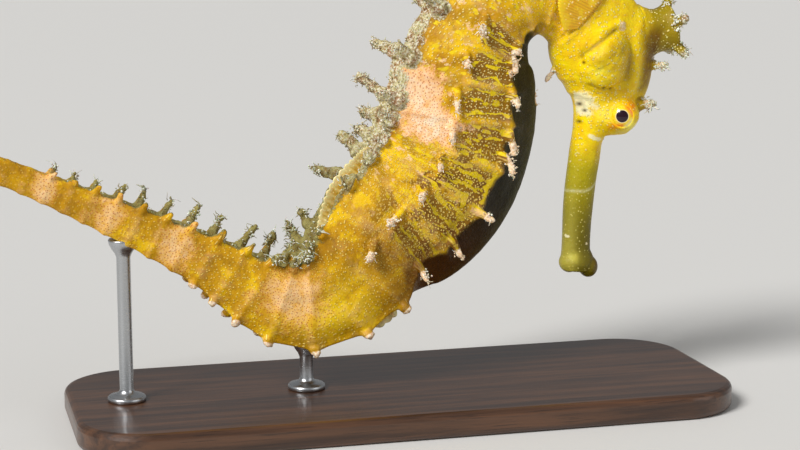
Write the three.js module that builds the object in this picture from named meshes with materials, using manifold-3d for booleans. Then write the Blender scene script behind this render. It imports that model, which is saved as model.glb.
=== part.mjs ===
// A seahorse at life size on a low two-rod display stand, in millimetres.
// +Z is up, and the origin is the centre of the stand's underside. The animal's median plane is y = 0,
// its right side faces -Y, its back faces -X on the trunk and its snout hangs down at +X.
import * as THREE from "three";
import { mergeVertices } from "three/addons/utils/BufferGeometryUtils.js";
import Module from "manifold-3d";

const wasm = await Module();
wasm.setup();

// ---------- driving dimensions ----------

// Half cross-sections as [towards the back, sideways], each a share of the half depth and half width,
// from the middle of the back (0) round one side to the middle of the belly (7).
// 1 is the upper ridge, 3 the side ridge, 5 the lower ridge and 7 the keel.
const SNOUT = [
  [1, 0], [0.9, 0.45], [0.6, 0.8], [0.2, 0.98],
  [-0.25, 0.97], [-0.65, 0.77], [-0.92, 0.4], [-1, 0],
];
const HEAD = [
  [1, 0], [0.93, 0.4], [0.6, 0.74], [0.15, 0.96],
  [-0.28, 1], [-0.64, 0.76], [-0.92, 0.36], [-1, 0],
];
const NECK = [
  [0.93, 0], [1, 0.44], [0.6, 0.8], [0.1, 1],
  [-0.3, 0.93], [-0.68, 0.7], [-0.92, 0.33], [-1, 0],
];
const TRUNK = [
  [0.92, 0], [1, 0.5], [0.6, 0.8], [0.15, 1],
  [-0.18, 0.95], [-0.5, 0.84], [-0.8, 0.38], [-1, 0],
];
const TAIL = [
  [0.86, 0], [1, 0.72], [0.47, 0.9], [0, 0.88],
  [-0.45, 0.9], [-0.95, 0.74], [-0.94, 0.35], [-0.93, 0],
];

// The body line from the tip of the snout to where the tail starts to curl:
// x, z, half depth, half width, and the form of the section there.
const STATIONS = [
  [22.1, 15.4, 1.7, 1.5, SNOUT],
  [22.15, 16.5, 2.1, 1.85, SNOUT],
  [22.0, 18.1, 1.75, 1.5, SNOUT],
  [22.25, 24.0, 1.85, 1.5, SNOUT],
  [22.95, 29.5, 1.95, 1.75, SNOUT],
  [23.9, 33.0, 2.5, 2.4, HEAD],
  [25.1, 36.1, 4.5, 3.1, HEAD],
  [25.3, 39.5, 5.8, 3.9, HEAD],
  [24.0, 43.8, 6.2, 4.1, HEAD],
  [21.1, 47.2, 5.2, 3.8, NECK],
  [16.7, 48.5, 4.4, 3.5, NECK],
  [12.4, 47.1, 5.4, 3.8, NECK],
  [9.5, 43.7, 7.0, 4.4, TRUNK],
  [8.1, 38.8, 8.6, 5.1, TRUNK],
  [7.2, 33.1, 9.2, 5.6, TRUNK],
  [5.1, 27.8, 9.5, 5.7, TRUNK],
  [2.1, 24.0, 9.3, 5.5, TRUNK],
  [-1.6, 21.0, 8.4, 5.1, TRUNK],
  [-4.8, 17.8, 7.1, 4.7, TAIL],
  [-8.0, 14.6, 5.9, 4.3, TAIL],
  [-11.6, 13.2, 5.1, 4.0, TAIL],
  [-16.0, 14.2, 4.4, 3.6, TAIL],
  [-23.5, 19.1, 3.0, 2.7, TAIL],
  [-33.3, 24.3, 2.2, 2.0, TAIL],
  [-41.3, 28.1, 1.65, 1.55, TAIL],
  [-49.0, 31.4, 1.35, 1.25, TAIL],
];

// The curl at the end of the tail: its first and last radius, its turn, and the half depth at its tip.
const CURL = { first: 5.4, last: 2.0, turns: 1.2, stations: 16, tip: 0.45 };

// Rings of bony plates: how their spacing grows down the trunk and shrinks down the tail, how far the body
// narrows between two of them, and how many have that waist before the tail is too thin to show it.
const RINGS = { trunk: 11, tail: 35, spread: 1.2, shrink: 0.965, waist: 0.955, waisted: 19 };
const CUT = 0.3; // the gap between two solids that meet

// Where the body is parted, by station: the middle of the snout's base, the back of the head and so on.
const HEAD_START = 4.45;
const NECK_START = 8.55;
const TRUNK_START = 11.3; // under the arch of the neck
const TRUNK_SPLIT = 14.5;
const TAIL_START = 17.25;

// Spines on the ridges, in mm. A lean is towards the tail, as a share of the spine's way out.
const SPINE = {
  upper: 0.95, // root radii, those of the tail shrinking to a share at its last spines
  finger: 0.8,
  knob: 0.7,
  thinned: 0.45,
  blunt: 0.42, // the tip's radius as a share of the root's
  root: 0.9, // how deep a spine's foot is sunk
  margin: 0.8, // how near a foot may come to a cut
  forward: 1.6, // how far the trunk's upper spines stand before their ring's ridge
  bare: 3, // the neck's rings, which bear spines on the back alone
};
// The upper ridges' spines, ring by ring from the head: left length, right length, lean.
const UPPER_SPINES = [
  [3.6, 3.6, -0.25],
  [2.6, 2.6, -0.25],
  [2.6, 2.6, -0.25],
  [3.4, 3.4, -0.25],
  [2.6, 2.2, -0.25],
  [3.4, 2.4, -0.35],
  [3.6, 2.4, -0.25],
  [2.2, 1.4, -0.25],
  [1.8, 1.0, -0.1],
  [2.8, 0.8, 0],
  [3.3, 0.8, 0.6],
  [2.2, 1.0, -0.1],
  [3.4, 1.8, -0.1],
  [3.4, 1.8, -0.1],
  [3.2, 1.6, -0.1],
  [3.2, 1.5, -0.1],
  [2.8, 1.4, -0.1],
  [2.6, 1.3, -0.1],
  [2.6, 1.2, -0.1],
  [2.2, 1.0, -0.1],
  [2.0, 1.0, -0.1],
  [2.0, 1.0, -0.1],
  [1.6, 0.9, -0.1],
  [1.3, 0.8, -0.1],
  [1.3, 0.8, -0.1],
];
// The lower ridges' fingers on the trunk, from its first full ring: length, lean, shift along the body.
const FINGERS = [
  [0.9, 1.1, 1.3],
  [0.9, 1.8, 0.8],
  [1.4, 1.6, 0.5],
  [1.9, 1.8, 0.7],
  [2.1, 0.8, -1.4],
  [2.3, 0.25, -0.2],
  [2.3, 0.25, -1.0],
  [2.2, 0.35, -1.0],
];
// The knobs of the trunk's side ridges, and those of the tail's lower ridges on its first rings.
const SIDE_KNOB = { ridge: 2.7, length: 1.2, lean: 0.6, shift: 1.2 };
const TAIL_KNOBS = { rings: 7, length: 1.1, last: 0.6 };

// The eyeball's centre and radius, and the ball of the turret it turns in, sunk further into the head.
const EYE = { x: 26.6, y: 2.75, z: 34.4, radius: 1.95, turret: 2.35, sunk: 0.9 };
// The bulge of the gill cover.
const GILL = { x: 24.3, y: 3.0, z: 41.2, long: 3.3, thick: 1.5, high: 2.4, tilt: -50 };
// The coronet: where its stem leaves the head, its tilt above level, its radii and its star of spines.
const CROWN = {
  x: 30.0,
  z: 43.9,
  tilt: 10,
  root: 1.6,
  foot: 3.6,
  waist: 2.7,
  top: 3.0,
  height: 3.7,
  spines: 5,
  spine: [2.9, 0.95],
  spread: 1.5,
};

// Spines and knobs of the head, each [x, y, z, direction x, y, z, length, radius]: pairs, then single ones.
const HEAD_SPINES = [
  [28.8, 1.7, 35.4, 0.9, 0.45, 0.2, 1.7, 0.7], // over the eye
  [30.3, 1.3, 40.1, 1, 0.3, 0.05, 2.1, 0.8], // on the brow, under the crown
  [21.6, 2.3, 36.6, -0.6, 0.7, -0.3, 0.9, 0.95], // cheek
  [26.0, 3.3, 45.0, 0.1, 1, 0.25, 0.9, 0.7], // over the gill cover
];
const MIDDLE_SPINES = [
  [19.6, 0, 40.9, -0.7, 0, -1, 2.7, 0.7], // throat
  [24.9, 0, 31.6, 1, 0, -0.1, 0.9, 0.7], // nose
];

// The two lips round the mouth, each [x, z, radii x, y, z].
const LIPS = [
  [23.6, 15.9, 1.15, 1.5, 1.35],
  [21.2, 16.5, 1.25, 1.45, 1.25],
];

const DORSAL_FIN = { from: 15.6, to: 18.1, height: 2.3, thick: 0.7 };
const ANAL_FIN = { from: 18.2, to: 18.9, height: 1.7, thick: 0.6 };
const PECTORAL_FIN = { from: 8.75, length: 4.6, low: 2.2, high: 4.2, spread: 0.55, thick: 0.5, lift: 1.1 };

const BASE = { length: 78, width: 30, thick: 3, corner: 8, bevel: 0.7 };
const ROD = { radius: 0.8, foot: 2.2, footThick: 1.2, cup: 1.7, cupDeep: 1.3, flare: 1.6 };
const ROD_AT = { body: -11.4, tail: -32.5 };

const COLOURS = {
  skin: 0xcf9a17,
  snout: 0xb9a01c,
  crown: 0xa98f1c,
  eye: 0xe8b31c,
  fin: 0xd9b94c,
  wood: 0x3a2a20,
  steel: 0xb9bcc0,
};

// ---------- small helpers ----------

const sides = [1, -1]; // left, right
const mix = (a, b, f) => a + (b - a) * f;
const ease = (f) => f * f * (3 - 2 * f);
const material = (name, metalness = 0, roughness = 0.55) =>
  new THREE.MeshStandardMaterial({ color: COLOURS[name], metalness, roughness });

// Closes a geometry into a manifold solid.
function solid(geometry) {
  const bare = geometry.index ? geometry.toNonIndexed() : geometry.clone();
  bare.deleteAttribute("normal");
  bare.deleteAttribute("uv");
  const merged = mergeVertices(bare, 1e-4);
  return new wasm.Manifold(
    new wasm.Mesh({
      numProp: 3,
      vertProperties: merged.attributes.position.array,
      triVerts: new Uint32Array(merged.index.array),
    }),
  );
}

const group = new THREE.Group();

// Adds a solid to the model as a named mesh.
function place(name, shape, finish) {
  const { numProp, numVert, vertProperties, triVerts } = shape.getMesh();
  const places = new Float32Array(numVert * 3);
  for (let i = 0; i < numVert; i++) {
    places.set(vertProperties.subarray(i * numProp, i * numProp + 3), i * 3);
  }
  const geometry = new THREE.BufferGeometry();
  geometry.setAttribute("position", new THREE.BufferAttribute(places, 3));
  geometry.setIndex(new THREE.BufferAttribute(new Uint32Array(triVerts), 1));
  geometry.computeVertexNormals();
  const mesh = new THREE.Mesh(geometry, finish);
  mesh.name = name;
  group.add(mesh);
}

const join = (shapes) => shapes.reduce((all, next) => all.add(next));

// An ellipsoid turned about the Y axis by tilt degrees.
function ellipsoid(at, radii, tilt = 0, around = 12, up = 8) {
  const geometry = new THREE.SphereGeometry(1, around, up);
  geometry.scale(...radii);
  geometry.rotateY(THREE.MathUtils.degToRad(tilt));
  geometry.translate(...at);
  return solid(geometry);
}

const ball = (at, radius) => ellipsoid(at, [radius, radius, radius]);

// ---------- the body line ----------

// The stations with the curl added, which tightens and thins evenly to its tip.
function allStations() {
  const rows = STATIONS.map((row) => [...row]);
  const [x, z, deep, wide] = rows.at(-1);
  const [beforeX, beforeZ] = rows.at(-2);
  const heading = Math.atan2(z - beforeZ, x - beforeX);
  const start = heading - Math.PI / 2;
  const centreX = x - CURL.first * Math.cos(start);
  const centreZ = z - CURL.first * Math.sin(start);
  for (let i = 1; i <= CURL.stations; i++) {
    const f = i / CURL.stations;
    const turn = start + f * CURL.turns * 2 * Math.PI;
    const radius = mix(CURL.first, CURL.last, f);
    const slim = mix(1, CURL.tip / deep, f);
    const [atX, atZ] = [centreX + radius * Math.cos(turn), centreZ + radius * Math.sin(turn)];
    rows.push([atX, atZ, deep * slim, wide * slim, TAIL]);
  }
  return rows;
}

const rows = allStations();
const along = [0];
for (let i = 1; i < rows.length; i++) {
  along.push(along[i - 1] + Math.hypot(rows[i][0] - rows[i - 1][0], rows[i][1] - rows[i - 1][1]));
}

// The distance along the body line of a place given by station, such as 8.5 for halfway from 8 to 9.
const distance = (station) => {
  const i = Math.min(Math.floor(station), rows.length - 2);
  return mix(along[i], along[i + 1], station - i);
};

// The slope of a column at a station, from its neighbours.
function slope(column, i) {
  const a = Math.max(i - 1, 0);
  const b = Math.min(i + 1, rows.length - 1);
  return (rows[b][column] - rows[a][column]) / (along[b] - along[a]);
}

// A column's value at a distance along the line, as a smooth curve through the stations.
function smooth(column, i, f) {
  const span = along[i + 1] - along[i];
  const f2 = f * f;
  const f3 = f2 * f;
  return (
    (2 * f3 - 3 * f2 + 1) * rows[i][column] +
    (f3 - 2 * f2 + f) * span * slope(column, i) +
    (3 * f2 - 2 * f3) * rows[i + 1][column] +
    (f3 - f2) * span * slope(column, i + 1)
  );
}

// The frame of the body line at a distance: its place, its direction towards the tail, the way to the back,
// its half depth and half width, and its section.
function at(s) {
  let i = along.findIndex((d) => d > s) - 1;
  if (i < 0) i = s <= 0 ? 0 : rows.length - 2;
  const f = (s - along[i]) / (along[i + 1] - along[i]);
  const step = 0.02;
  const [x, z] = [smooth(0, i, f), smooth(1, i, f)];
  const way = new THREE.Vector3(smooth(0, i, f + step) - x, 0, smooth(1, i, f + step) - z).normalize();
  const share = ease(Math.min(Math.max(f, 0), 1));
  const form = rows[i][4].map((p, k) => p.map((v, c) => mix(v, rows[i + 1][4][k][c], share)));
  return {
    centre: new THREE.Vector3(x, 0, z),
    way,
    back: new THREE.Vector3(way.z, 0, -way.x),
    deep: smooth(2, i, f),
    wide: smooth(3, i, f),
    form,
  };
}

// A point of the closed section at q: 0 to 7 runs down the left side (+Y) and 7 to 14 up the right side.
function onSection(form, q) {
  const n = 14;
  const corner = (k) => {
    const m = ((k % n) + n) % n;
    return m <= 7 ? form[m] : [form[n - m][0], -form[n - m][1]];
  };
  const k = Math.floor(q);
  const f = q - k;
  const [a, b, c, d] = [corner(k - 1), corner(k), corner(k + 1), corner(k + 2)];
  return [0, 1].map(
    (i) =>
      b[i] +
      0.5 * f * (c[i] - a[i]) +
      0.5 * f ** 2 * (2 * a[i] - 5 * b[i] + 4 * c[i] - d[i]) +
      0.5 * f ** 3 * (3 * b[i] - a[i] - 3 * c[i] + d[i]),
  );
}

// A point of the skin at distance s and section place q, grown outwards by some mm.
function skin(s, q, grow = 0, waist = 1) {
  const { centre, back, deep, wide, form } = at(s);
  const [v, w] = onSection(form, q);
  return centre
    .clone()
    .addScaledVector(back, v * (deep * waist + grow))
    .add(new THREE.Vector3(0, w * (wide * waist + grow), 0));
}

// ---------- the rings of bony plates ----------

const trunkFrom = distance(NECK_START);
const trunkLong = distance(TAIL_START) - trunkFrom;
const tailLong = along.at(-1) - distance(TAIL_START);

// The distance of each ring's ridge: the trunk's rings lengthen downwards, the tail's shorten to its tip.
function ringPlaces() {
  const places = [];
  for (let k = 1; k <= RINGS.trunk; k++) {
    places.push(trunkFrom + trunkLong * (k / RINGS.trunk) ** RINGS.spread);
  }
  const whole = (1 - RINGS.shrink ** RINGS.tail) / (1 - RINGS.shrink);
  let s = places.at(-1);
  for (let k = 0; k < RINGS.tail; k++) {
    s += (tailLong * RINGS.shrink ** k) / whole;
    places.push(Math.min(s, along.at(-1)));
  }
  return places;
}

const rings = ringPlaces();

// The distances at which a length of body is sampled: each ring's ridge and the waist between two rings.
function samples(from, to, extra = []) {
  const list = [[from, 1], [to, 1]];
  const margin = 0.35;
  rings.forEach((s, i) => {
    const before = i ? rings[i - 1] : trunkFrom;
    if (s > from + margin && s < to - margin) list.push([s, 1]);
    const middle = (s + before) / 2;
    const waisted = i < RINGS.waisted;
    if (waisted && middle > from + margin && middle < to - margin) list.push([middle, RINGS.waist]);
  });
  for (const d of extra) if (d > from + margin && d < to - margin) list.push([d, 1]);
  return list.sort((a, b) => a[0] - b[0]);
}

// A closed length of body between two distances, with flat ends.
function loft(from, to, perCorner, { extra = [], grow = 0 } = {}) {
  const around = 14 * perCorner;
  const list = samples(from, to, extra);
  const places = [];
  for (const [s, waist] of list) {
    for (let k = 0; k < around; k++) places.push(skin(s, k / perCorner, grow, waist));
  }
  const last = (list.length - 1) * around;
  places.push(at(from).centre, at(to).centre);
  const [headEnd, tailEnd] = [places.length - 2, places.length - 1];
  const faces = [];
  for (let r = 0; r + 1 < list.length; r++) {
    for (let k = 0; k < around; k++) {
      const [a, b] = [r * around + k, r * around + ((k + 1) % around)];
      faces.push(a, b, a + around, b, b + around, a + around);
    }
  }
  for (let k = 0; k < around; k++) {
    const next = (k + 1) % around;
    faces.push(headEnd, next, k, tailEnd, last + k, last + next);
  }
  const geometry = new THREE.BufferGeometry().setFromPoints(places);
  geometry.setIndex(faces);
  return solid(geometry);
}

// ---------- spines ----------

// A blunt spine from a foot along a direction.
function spineAt(foot, direction, [length, radius], edges = 4) {
  const whole = length + SPINE.root;
  const geometry = new THREE.CylinderGeometry(radius * SPINE.blunt, radius, whole, edges);
  geometry.translate(0, whole / 2 - SPINE.root, 0);
  geometry.applyQuaternion(
    new THREE.Quaternion().setFromUnitVectors(new THREE.Vector3(0, 1, 0), direction.clone().normalize()),
  );
  geometry.translate(foot.x, foot.y, foot.z);
  return solid(geometry);
}

// A spine on one ridge, on one side (1 left, -1 right), leaning towards the tail by a share of its length.
function ridgeSpine(s, ridge, side, size, lean) {
  const foot = skin(s, side > 0 ? ridge : 14 - ridge);
  const { centre, way } = at(s);
  return spineAt(foot, foot.clone().sub(centre).normalize().addScaledVector(way, lean), size);
}

// The spines whose feet lie between two distances.
function spinesBetween(from, to) {
  const found = [];
  const add = (s, ...spine) => {
    if (s > from + SPINE.margin && s < to - SPINE.margin) found.push(ridgeSpine(s, ...spine));
  };
  rings.forEach((s, i) => {
    const tailRing = i - RINGS.trunk; // 0 is the tail's first ring
    const onTrunk = tailRing < 0;
    const thin = onTrunk ? 1 : mix(1, SPINE.thinned, i / UPPER_SPINES.length);
    sides.forEach((side, k) => {
      if (i < UPPER_SPINES.length) {
        const size = [UPPER_SPINES[i][k], SPINE.upper * thin];
        add(onTrunk ? s - SPINE.forward : s, 1, side, size, UPPER_SPINES[i][2]);
      }
      if (onTrunk && i >= SPINE.bare) {
        const [length, lean, shift] = FINGERS[i - SPINE.bare];
        add(s + shift, 5, side, [length, SPINE.finger], lean);
        add(s + SIDE_KNOB.shift, SIDE_KNOB.ridge, side, [SIDE_KNOB.length, SPINE.knob], SIDE_KNOB.lean);
      }
      if (!onTrunk && tailRing < TAIL_KNOBS.rings) {
        const size = mix(TAIL_KNOBS.length, TAIL_KNOBS.last, tailRing / TAIL_KNOBS.rings);
        add(s, 5, side, [size, SPINE.knob * thin], 0);
      }
    });
  });
  return found;
}

// ---------- head ----------

// A spine of the head, mirrored for the right side.
function headSpine([x, y, z, dx, dy, dz, length, radius], side) {
  return spineAt(new THREE.Vector3(x, y * side, z), new THREE.Vector3(dx, dy * side, dz), [length, radius]);
}

const headFrom = distance(HEAD_START);
const headTo = distance(NECK_START);
const headStations = [5, 5.7, 6.4, 7.1, 7.9].map(distance);

function makeHead() {
  const parts = [loft(headFrom + CUT / 2, headTo - CUT / 2, 2, { extra: headStations })];
  for (const side of sides) {
    parts.push(ball([EYE.x, (EYE.y - EYE.sunk) * side, EYE.z], EYE.turret));
    const bulge = [GILL.long, GILL.thick, GILL.high];
    parts.push(ellipsoid([GILL.x, GILL.y * side, GILL.z], bulge, GILL.tilt, 8, 6));
  }
  for (const spine of HEAD_SPINES) parts.push(...sides.map((side) => headSpine(spine, side)));
  for (const spine of MIDDLE_SPINES) parts.push(headSpine(spine, 1));
  const sockets = sides.map((side) => ball([EYE.x, EYE.y * side, EYE.z], EYE.radius + CUT));
  return join(parts).subtract(join(sockets));
}

// The tubular snout with the two lips round its small mouth.
function makeSnout() {
  const lips = LIPS.map(([x, z, ...radii]) => ellipsoid([x, 0, z], radii, 0, 8, 6));
  const tube = loft(0, headFrom - CUT / 2, 1, { extra: [0.7, 1, 1.5, 2, 3, 4].map(distance) });
  return join([tube, ...lips]);
}

// The coronet: a waisted stem with a star of blunt spines round its top.
function makeCrown(headGrown) {
  const { root, foot, waist, top, height, spines, spine, spread } = CROWN;
  const middle = height * 0.45;
  const profile = [
    [0, -root],
    [foot, -root],
    [foot * 0.92, 0.2],
    [waist, middle],
    [top, height],
    [0, height],
  ];
  const stem = new THREE.LatheGeometry(profile.map(([r, h]) => new THREE.Vector2(r, h)), 8);
  const parts = [solid(stem)];
  for (let i = 0; i < spines; i++) {
    const turn = (i / spines) * 2 * Math.PI;
    const out = new THREE.Vector3(Math.cos(turn), 0.5, Math.sin(turn));
    parts.push(spineAt(new THREE.Vector3(out.x * spread, height - 0.7, out.z * spread), out, spine, 5));
  }
  const turned = join(parts).rotate([0, 0, CROWN.tilt - 90]); // the stem's axis turns from +Y to +X
  return turned.rotate([90, 0, 0]).translate([CROWN.x, 0, CROWN.z]).subtract(headGrown);
}

// ---------- fins ----------

// A thin upright blade over the back or under the belly, its free edge a low arc.
function blade({ from, to, height, thick }, q, steps = 10) {
  const [a, b] = [distance(from), distance(to)];
  const outer = [];
  const inner = [];
  for (let i = 0; i <= steps; i++) {
    const f = i / steps;
    const s = mix(a, b, f);
    const foot = skin(s, q);
    const out = foot.clone().sub(at(s).centre).normalize();
    const rise = height * Math.sin(Math.PI * mix(0.12, 0.9, f)) ** 0.6;
    outer.push(foot.clone().addScaledVector(out, rise));
    inner.push(foot.clone().addScaledVector(out, -0.6));
  }
  const shape = new THREE.Shape([...outer, ...inner.reverse()].map((p) => new THREE.Vector2(p.x, p.z)));
  const geometry = new THREE.ExtrudeGeometry(shape, { depth: thick, bevelEnabled: false });
  geometry.translate(0, 0, -thick / 2);
  geometry.rotateX(Math.PI / 2);
  return solid(geometry);
}

// A small fan lying along the side of the neck, rooted behind the gill cover.
function makePectoral(side) {
  const { from, length, low, high, spread, thick, lift } = PECTORAL_FIN;
  const [rays, steps] = [6, 4];
  const root = distance(from);
  const grid = (offset) => {
    const points = [];
    for (let i = 0; i <= steps; i++) {
      for (let j = 0; j <= rays; j++) {
        const [f, g] = [i / steps, j / rays];
        const bow = 1 - 0.35 * (2 * g - 1) ** 2; // the middle rays are the longest
        const q = mix(low, high, 0.5 + (g - 0.5) * (1 + spread * f));
        const s = root + length * f * bow;
        const away = CUT + offset + lift * f;
        points.push(skin(s, side > 0 ? q : 14 - q, away));
      }
    }
    return points;
  };
  const places = [...grid(0), ...grid(thick)];
  const wide = rays + 1;
  const under = wide * (steps + 1);
  const faces = [];
  const quad = (a, b, c, d) => faces.push(a, b, c, a, c, d);
  for (let i = 0; i < steps; i++) {
    for (let j = 0; j < rays; j++) {
      const a = i * wide + j;
      quad(a, a + 1, a + 1 + wide, a + wide);
      quad(under + a, under + a + wide, under + a + 1 + wide, under + a + 1);
    }
  }
  for (let j = 0; j < rays; j++) {
    const end = steps * wide + j;
    quad(j, under + j, under + j + 1, j + 1);
    quad(end, end + 1, under + end + 1, under + end);
  }
  for (let i = 0; i < steps; i++) {
    const [a, b] = [i * wide, i * wide + rays];
    quad(a, a + wide, under + a + wide, under + a);
    quad(b, under + b, under + b + wide, b + wide);
  }
  if (side > 0) {
    faces.reverse();
  }
  const geometry = new THREE.BufferGeometry().setFromPoints(places);
  geometry.setIndex(faces);
  return solid(geometry);
}

// ---------- stand ----------

// A flat plaque with round corners and a small bevel.
function makeBase() {
  const { length, width, thick, corner, bevel } = BASE;
  const [x, y, r] = [length / 2 - bevel, width / 2 - bevel, corner];
  const shape = new THREE.Shape();
  shape.absarc(x - r, -y + r, r, -Math.PI / 2, 0);
  shape.absarc(x - r, y - r, r, 0, Math.PI / 2);
  shape.absarc(-x + r, y - r, r, Math.PI / 2, Math.PI);
  shape.absarc(-x + r, -y + r, r, Math.PI, 1.5 * Math.PI);
  const edge = { bevelThickness: bevel, bevelSize: bevel, bevelSegments: 1, curveSegments: 3 };
  const geometry = new THREE.ExtrudeGeometry(shape, { depth: thick - 2 * bevel, ...edge });
  geometry.translate(0, 0, bevel);
  return solid(geometry);
}

// A rod with a flanged foot and a shallow cup, cut to the body that rests in it.
function makeRod(x, body) {
  const { radius, foot, footThick, cup, cupDeep, flare } = ROD;
  const bottom = BASE.thick + CUT;
  const rest = skinUnder(x);
  const profile = [
    [0, bottom],
    [foot, bottom],
    [foot, bottom + footThick / 2],
    [radius, bottom + footThick],
    [radius, rest - flare],
    [cup, rest],
    [cup, rest + cupDeep],
    [0, rest + cupDeep],
  ];
  const geometry = new THREE.LatheGeometry(profile.map(([r, z]) => new THREE.Vector2(r, z)), 10);
  geometry.rotateX(Math.PI / 2);
  geometry.translate(x, 0, 0);
  return solid(geometry).subtract(body);
}

// The lowest height of the keel line over a place x of the stand.
function skinUnder(x) {
  let lowest = Infinity;
  for (let s = distance(TAIL_START); s < distance(25); s += 0.1) {
    const p = skin(s, 7);
    if (Math.abs(p.x - x) < 0.2) lowest = Math.min(lowest, p.z);
  }
  return lowest;
}

// ---------- the whole model ----------

const skinFinish = material("skin");
const finFinish = material("fin", 0, 0.45);
const end = along.at(-1);
const neckTo = distance(TRUNK_START);
const split = distance(TRUNK_SPLIT);
const tailFrom = distance(TAIL_START);
// The tail's lengths end midway between two rings.
const between = (k) => (rings[RINGS.trunk + k] + rings[RINGS.trunk + k + 1]) / 2;
const tailCuts = [tailFrom, between(3), between(8), between(15), between(24), end];

// Adds a named length of the body with its spines.
function length(name, from, to, perCorner) {
  const body = loft(from + CUT / 2, to - CUT / 2, perCorner);
  place(name, join([body, ...spinesBetween(from, to)]), skinFinish);
}

const head = makeHead();
place("head", head, skinFinish);
place("snout", makeSnout(), material("snout"));
const headGrown = loft(headFrom, headTo, 2, { extra: headStations, grow: CUT });
place("coronet", makeCrown(headGrown), material("crown"));
for (const side of sides) {
  const { x, y, z, radius } = EYE;
  const name = side > 0 ? "left" : "right";
  place(`eye_${name}`, ball([x, y * side, z], radius), material("eye", 0, 0.1));
  place(`fin_pectoral_${name}`, makePectoral(side), finFinish);
}

length("neck", headTo, neckTo, 1);
length("trunk_upper", neckTo, split, 2);
length("trunk_lower", split, tailFrom, 2);
length("tail_root", tailCuts[0], tailCuts[1], 1);
length("tail_middle", tailCuts[1], tailCuts[2], 1);
length("tail_far", tailCuts[2], tailCuts[3], 1);
length("tail_curl_outer", tailCuts[3], tailCuts[4], 1);
length("tail_curl_inner", tailCuts[4], tailCuts[5] + CUT / 2, 1);

const bodyGrown = loft(distance(13), distance(25), 2, { grow: CUT });
place("fin_dorsal", blade(DORSAL_FIN, 0).subtract(bodyGrown), finFinish);
place("fin_anal", blade(ANAL_FIN, 7, 5).subtract(bodyGrown), finFinish);

place("stand_base", makeBase(), material("wood", 0, 0.4));
for (const [name, x] of Object.entries(ROD_AT)) {
  place(`stand_rod_${name}`, makeRod(x, bodyGrown), material("steel", 1, 0.3));
}

export default group;
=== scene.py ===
"""The looks of a tiger-tail seahorse on its display stand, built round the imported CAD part.

Lengths are in millimetres until a mesh is made, which is in metres. A place on the body is a
distance s along the body line from the lips, and a place q round the section: 0 on the middle
of the back, 1, 3 and 5 on the left side's ridges, 7 on the keel, and 9, 11 and 13 on the
right side's ridges. The looks are alike on both sides, so most of them only ask for q up to 7.
"""

import math
from types import SimpleNamespace

import bpy
import numpy as np
from mathutils import Matrix, Vector


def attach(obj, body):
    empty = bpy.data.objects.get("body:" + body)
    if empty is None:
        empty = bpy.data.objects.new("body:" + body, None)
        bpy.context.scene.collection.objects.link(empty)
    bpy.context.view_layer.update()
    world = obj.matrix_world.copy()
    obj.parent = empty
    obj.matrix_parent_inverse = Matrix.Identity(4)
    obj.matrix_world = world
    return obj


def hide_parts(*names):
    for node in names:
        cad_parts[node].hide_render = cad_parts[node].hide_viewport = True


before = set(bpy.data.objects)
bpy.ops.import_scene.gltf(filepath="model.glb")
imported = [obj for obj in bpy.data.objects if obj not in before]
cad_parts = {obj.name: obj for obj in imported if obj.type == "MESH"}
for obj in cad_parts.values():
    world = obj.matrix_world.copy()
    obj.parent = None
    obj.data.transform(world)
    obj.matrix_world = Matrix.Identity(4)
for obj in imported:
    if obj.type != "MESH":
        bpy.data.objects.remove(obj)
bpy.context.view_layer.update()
rng = np.random.default_rng(11)
MM = 0.001
SIDES = {"left": 1, "right": -1}

# ---------- the part's own sizes ----------

SNOUT = [
    (1, 0), (0.9, 0.45), (0.6, 0.8), (0.2, 0.98), (-0.25, 0.97), (-0.65, 0.77), (-0.92, 0.4), (-1, 0),
]
HEAD = [
    (1, 0), (0.93, 0.4), (0.6, 0.74), (0.15, 0.96), (-0.28, 1), (-0.64, 0.76), (-0.92, 0.36), (-1, 0),
]
NECK = [
    (0.93, 0), (1, 0.44), (0.6, 0.8), (0.1, 1), (-0.3, 0.93), (-0.68, 0.7), (-0.92, 0.33), (-1, 0),
]
TRUNK = [
    (0.92, 0), (1, 0.5), (0.6, 0.8), (0.15, 1), (-0.18, 0.95), (-0.5, 0.84), (-0.8, 0.38), (-1, 0),
]
TAIL = [
    (0.86, 0), (1, 0.72), (0.47, 0.9), (0, 0.88), (-0.45, 0.9), (-0.95, 0.74), (-0.94, 0.35), (-0.93, 0),
]
CORNERS, KEEL = 14, 7  # the places q round a section, and the one half way round

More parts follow.
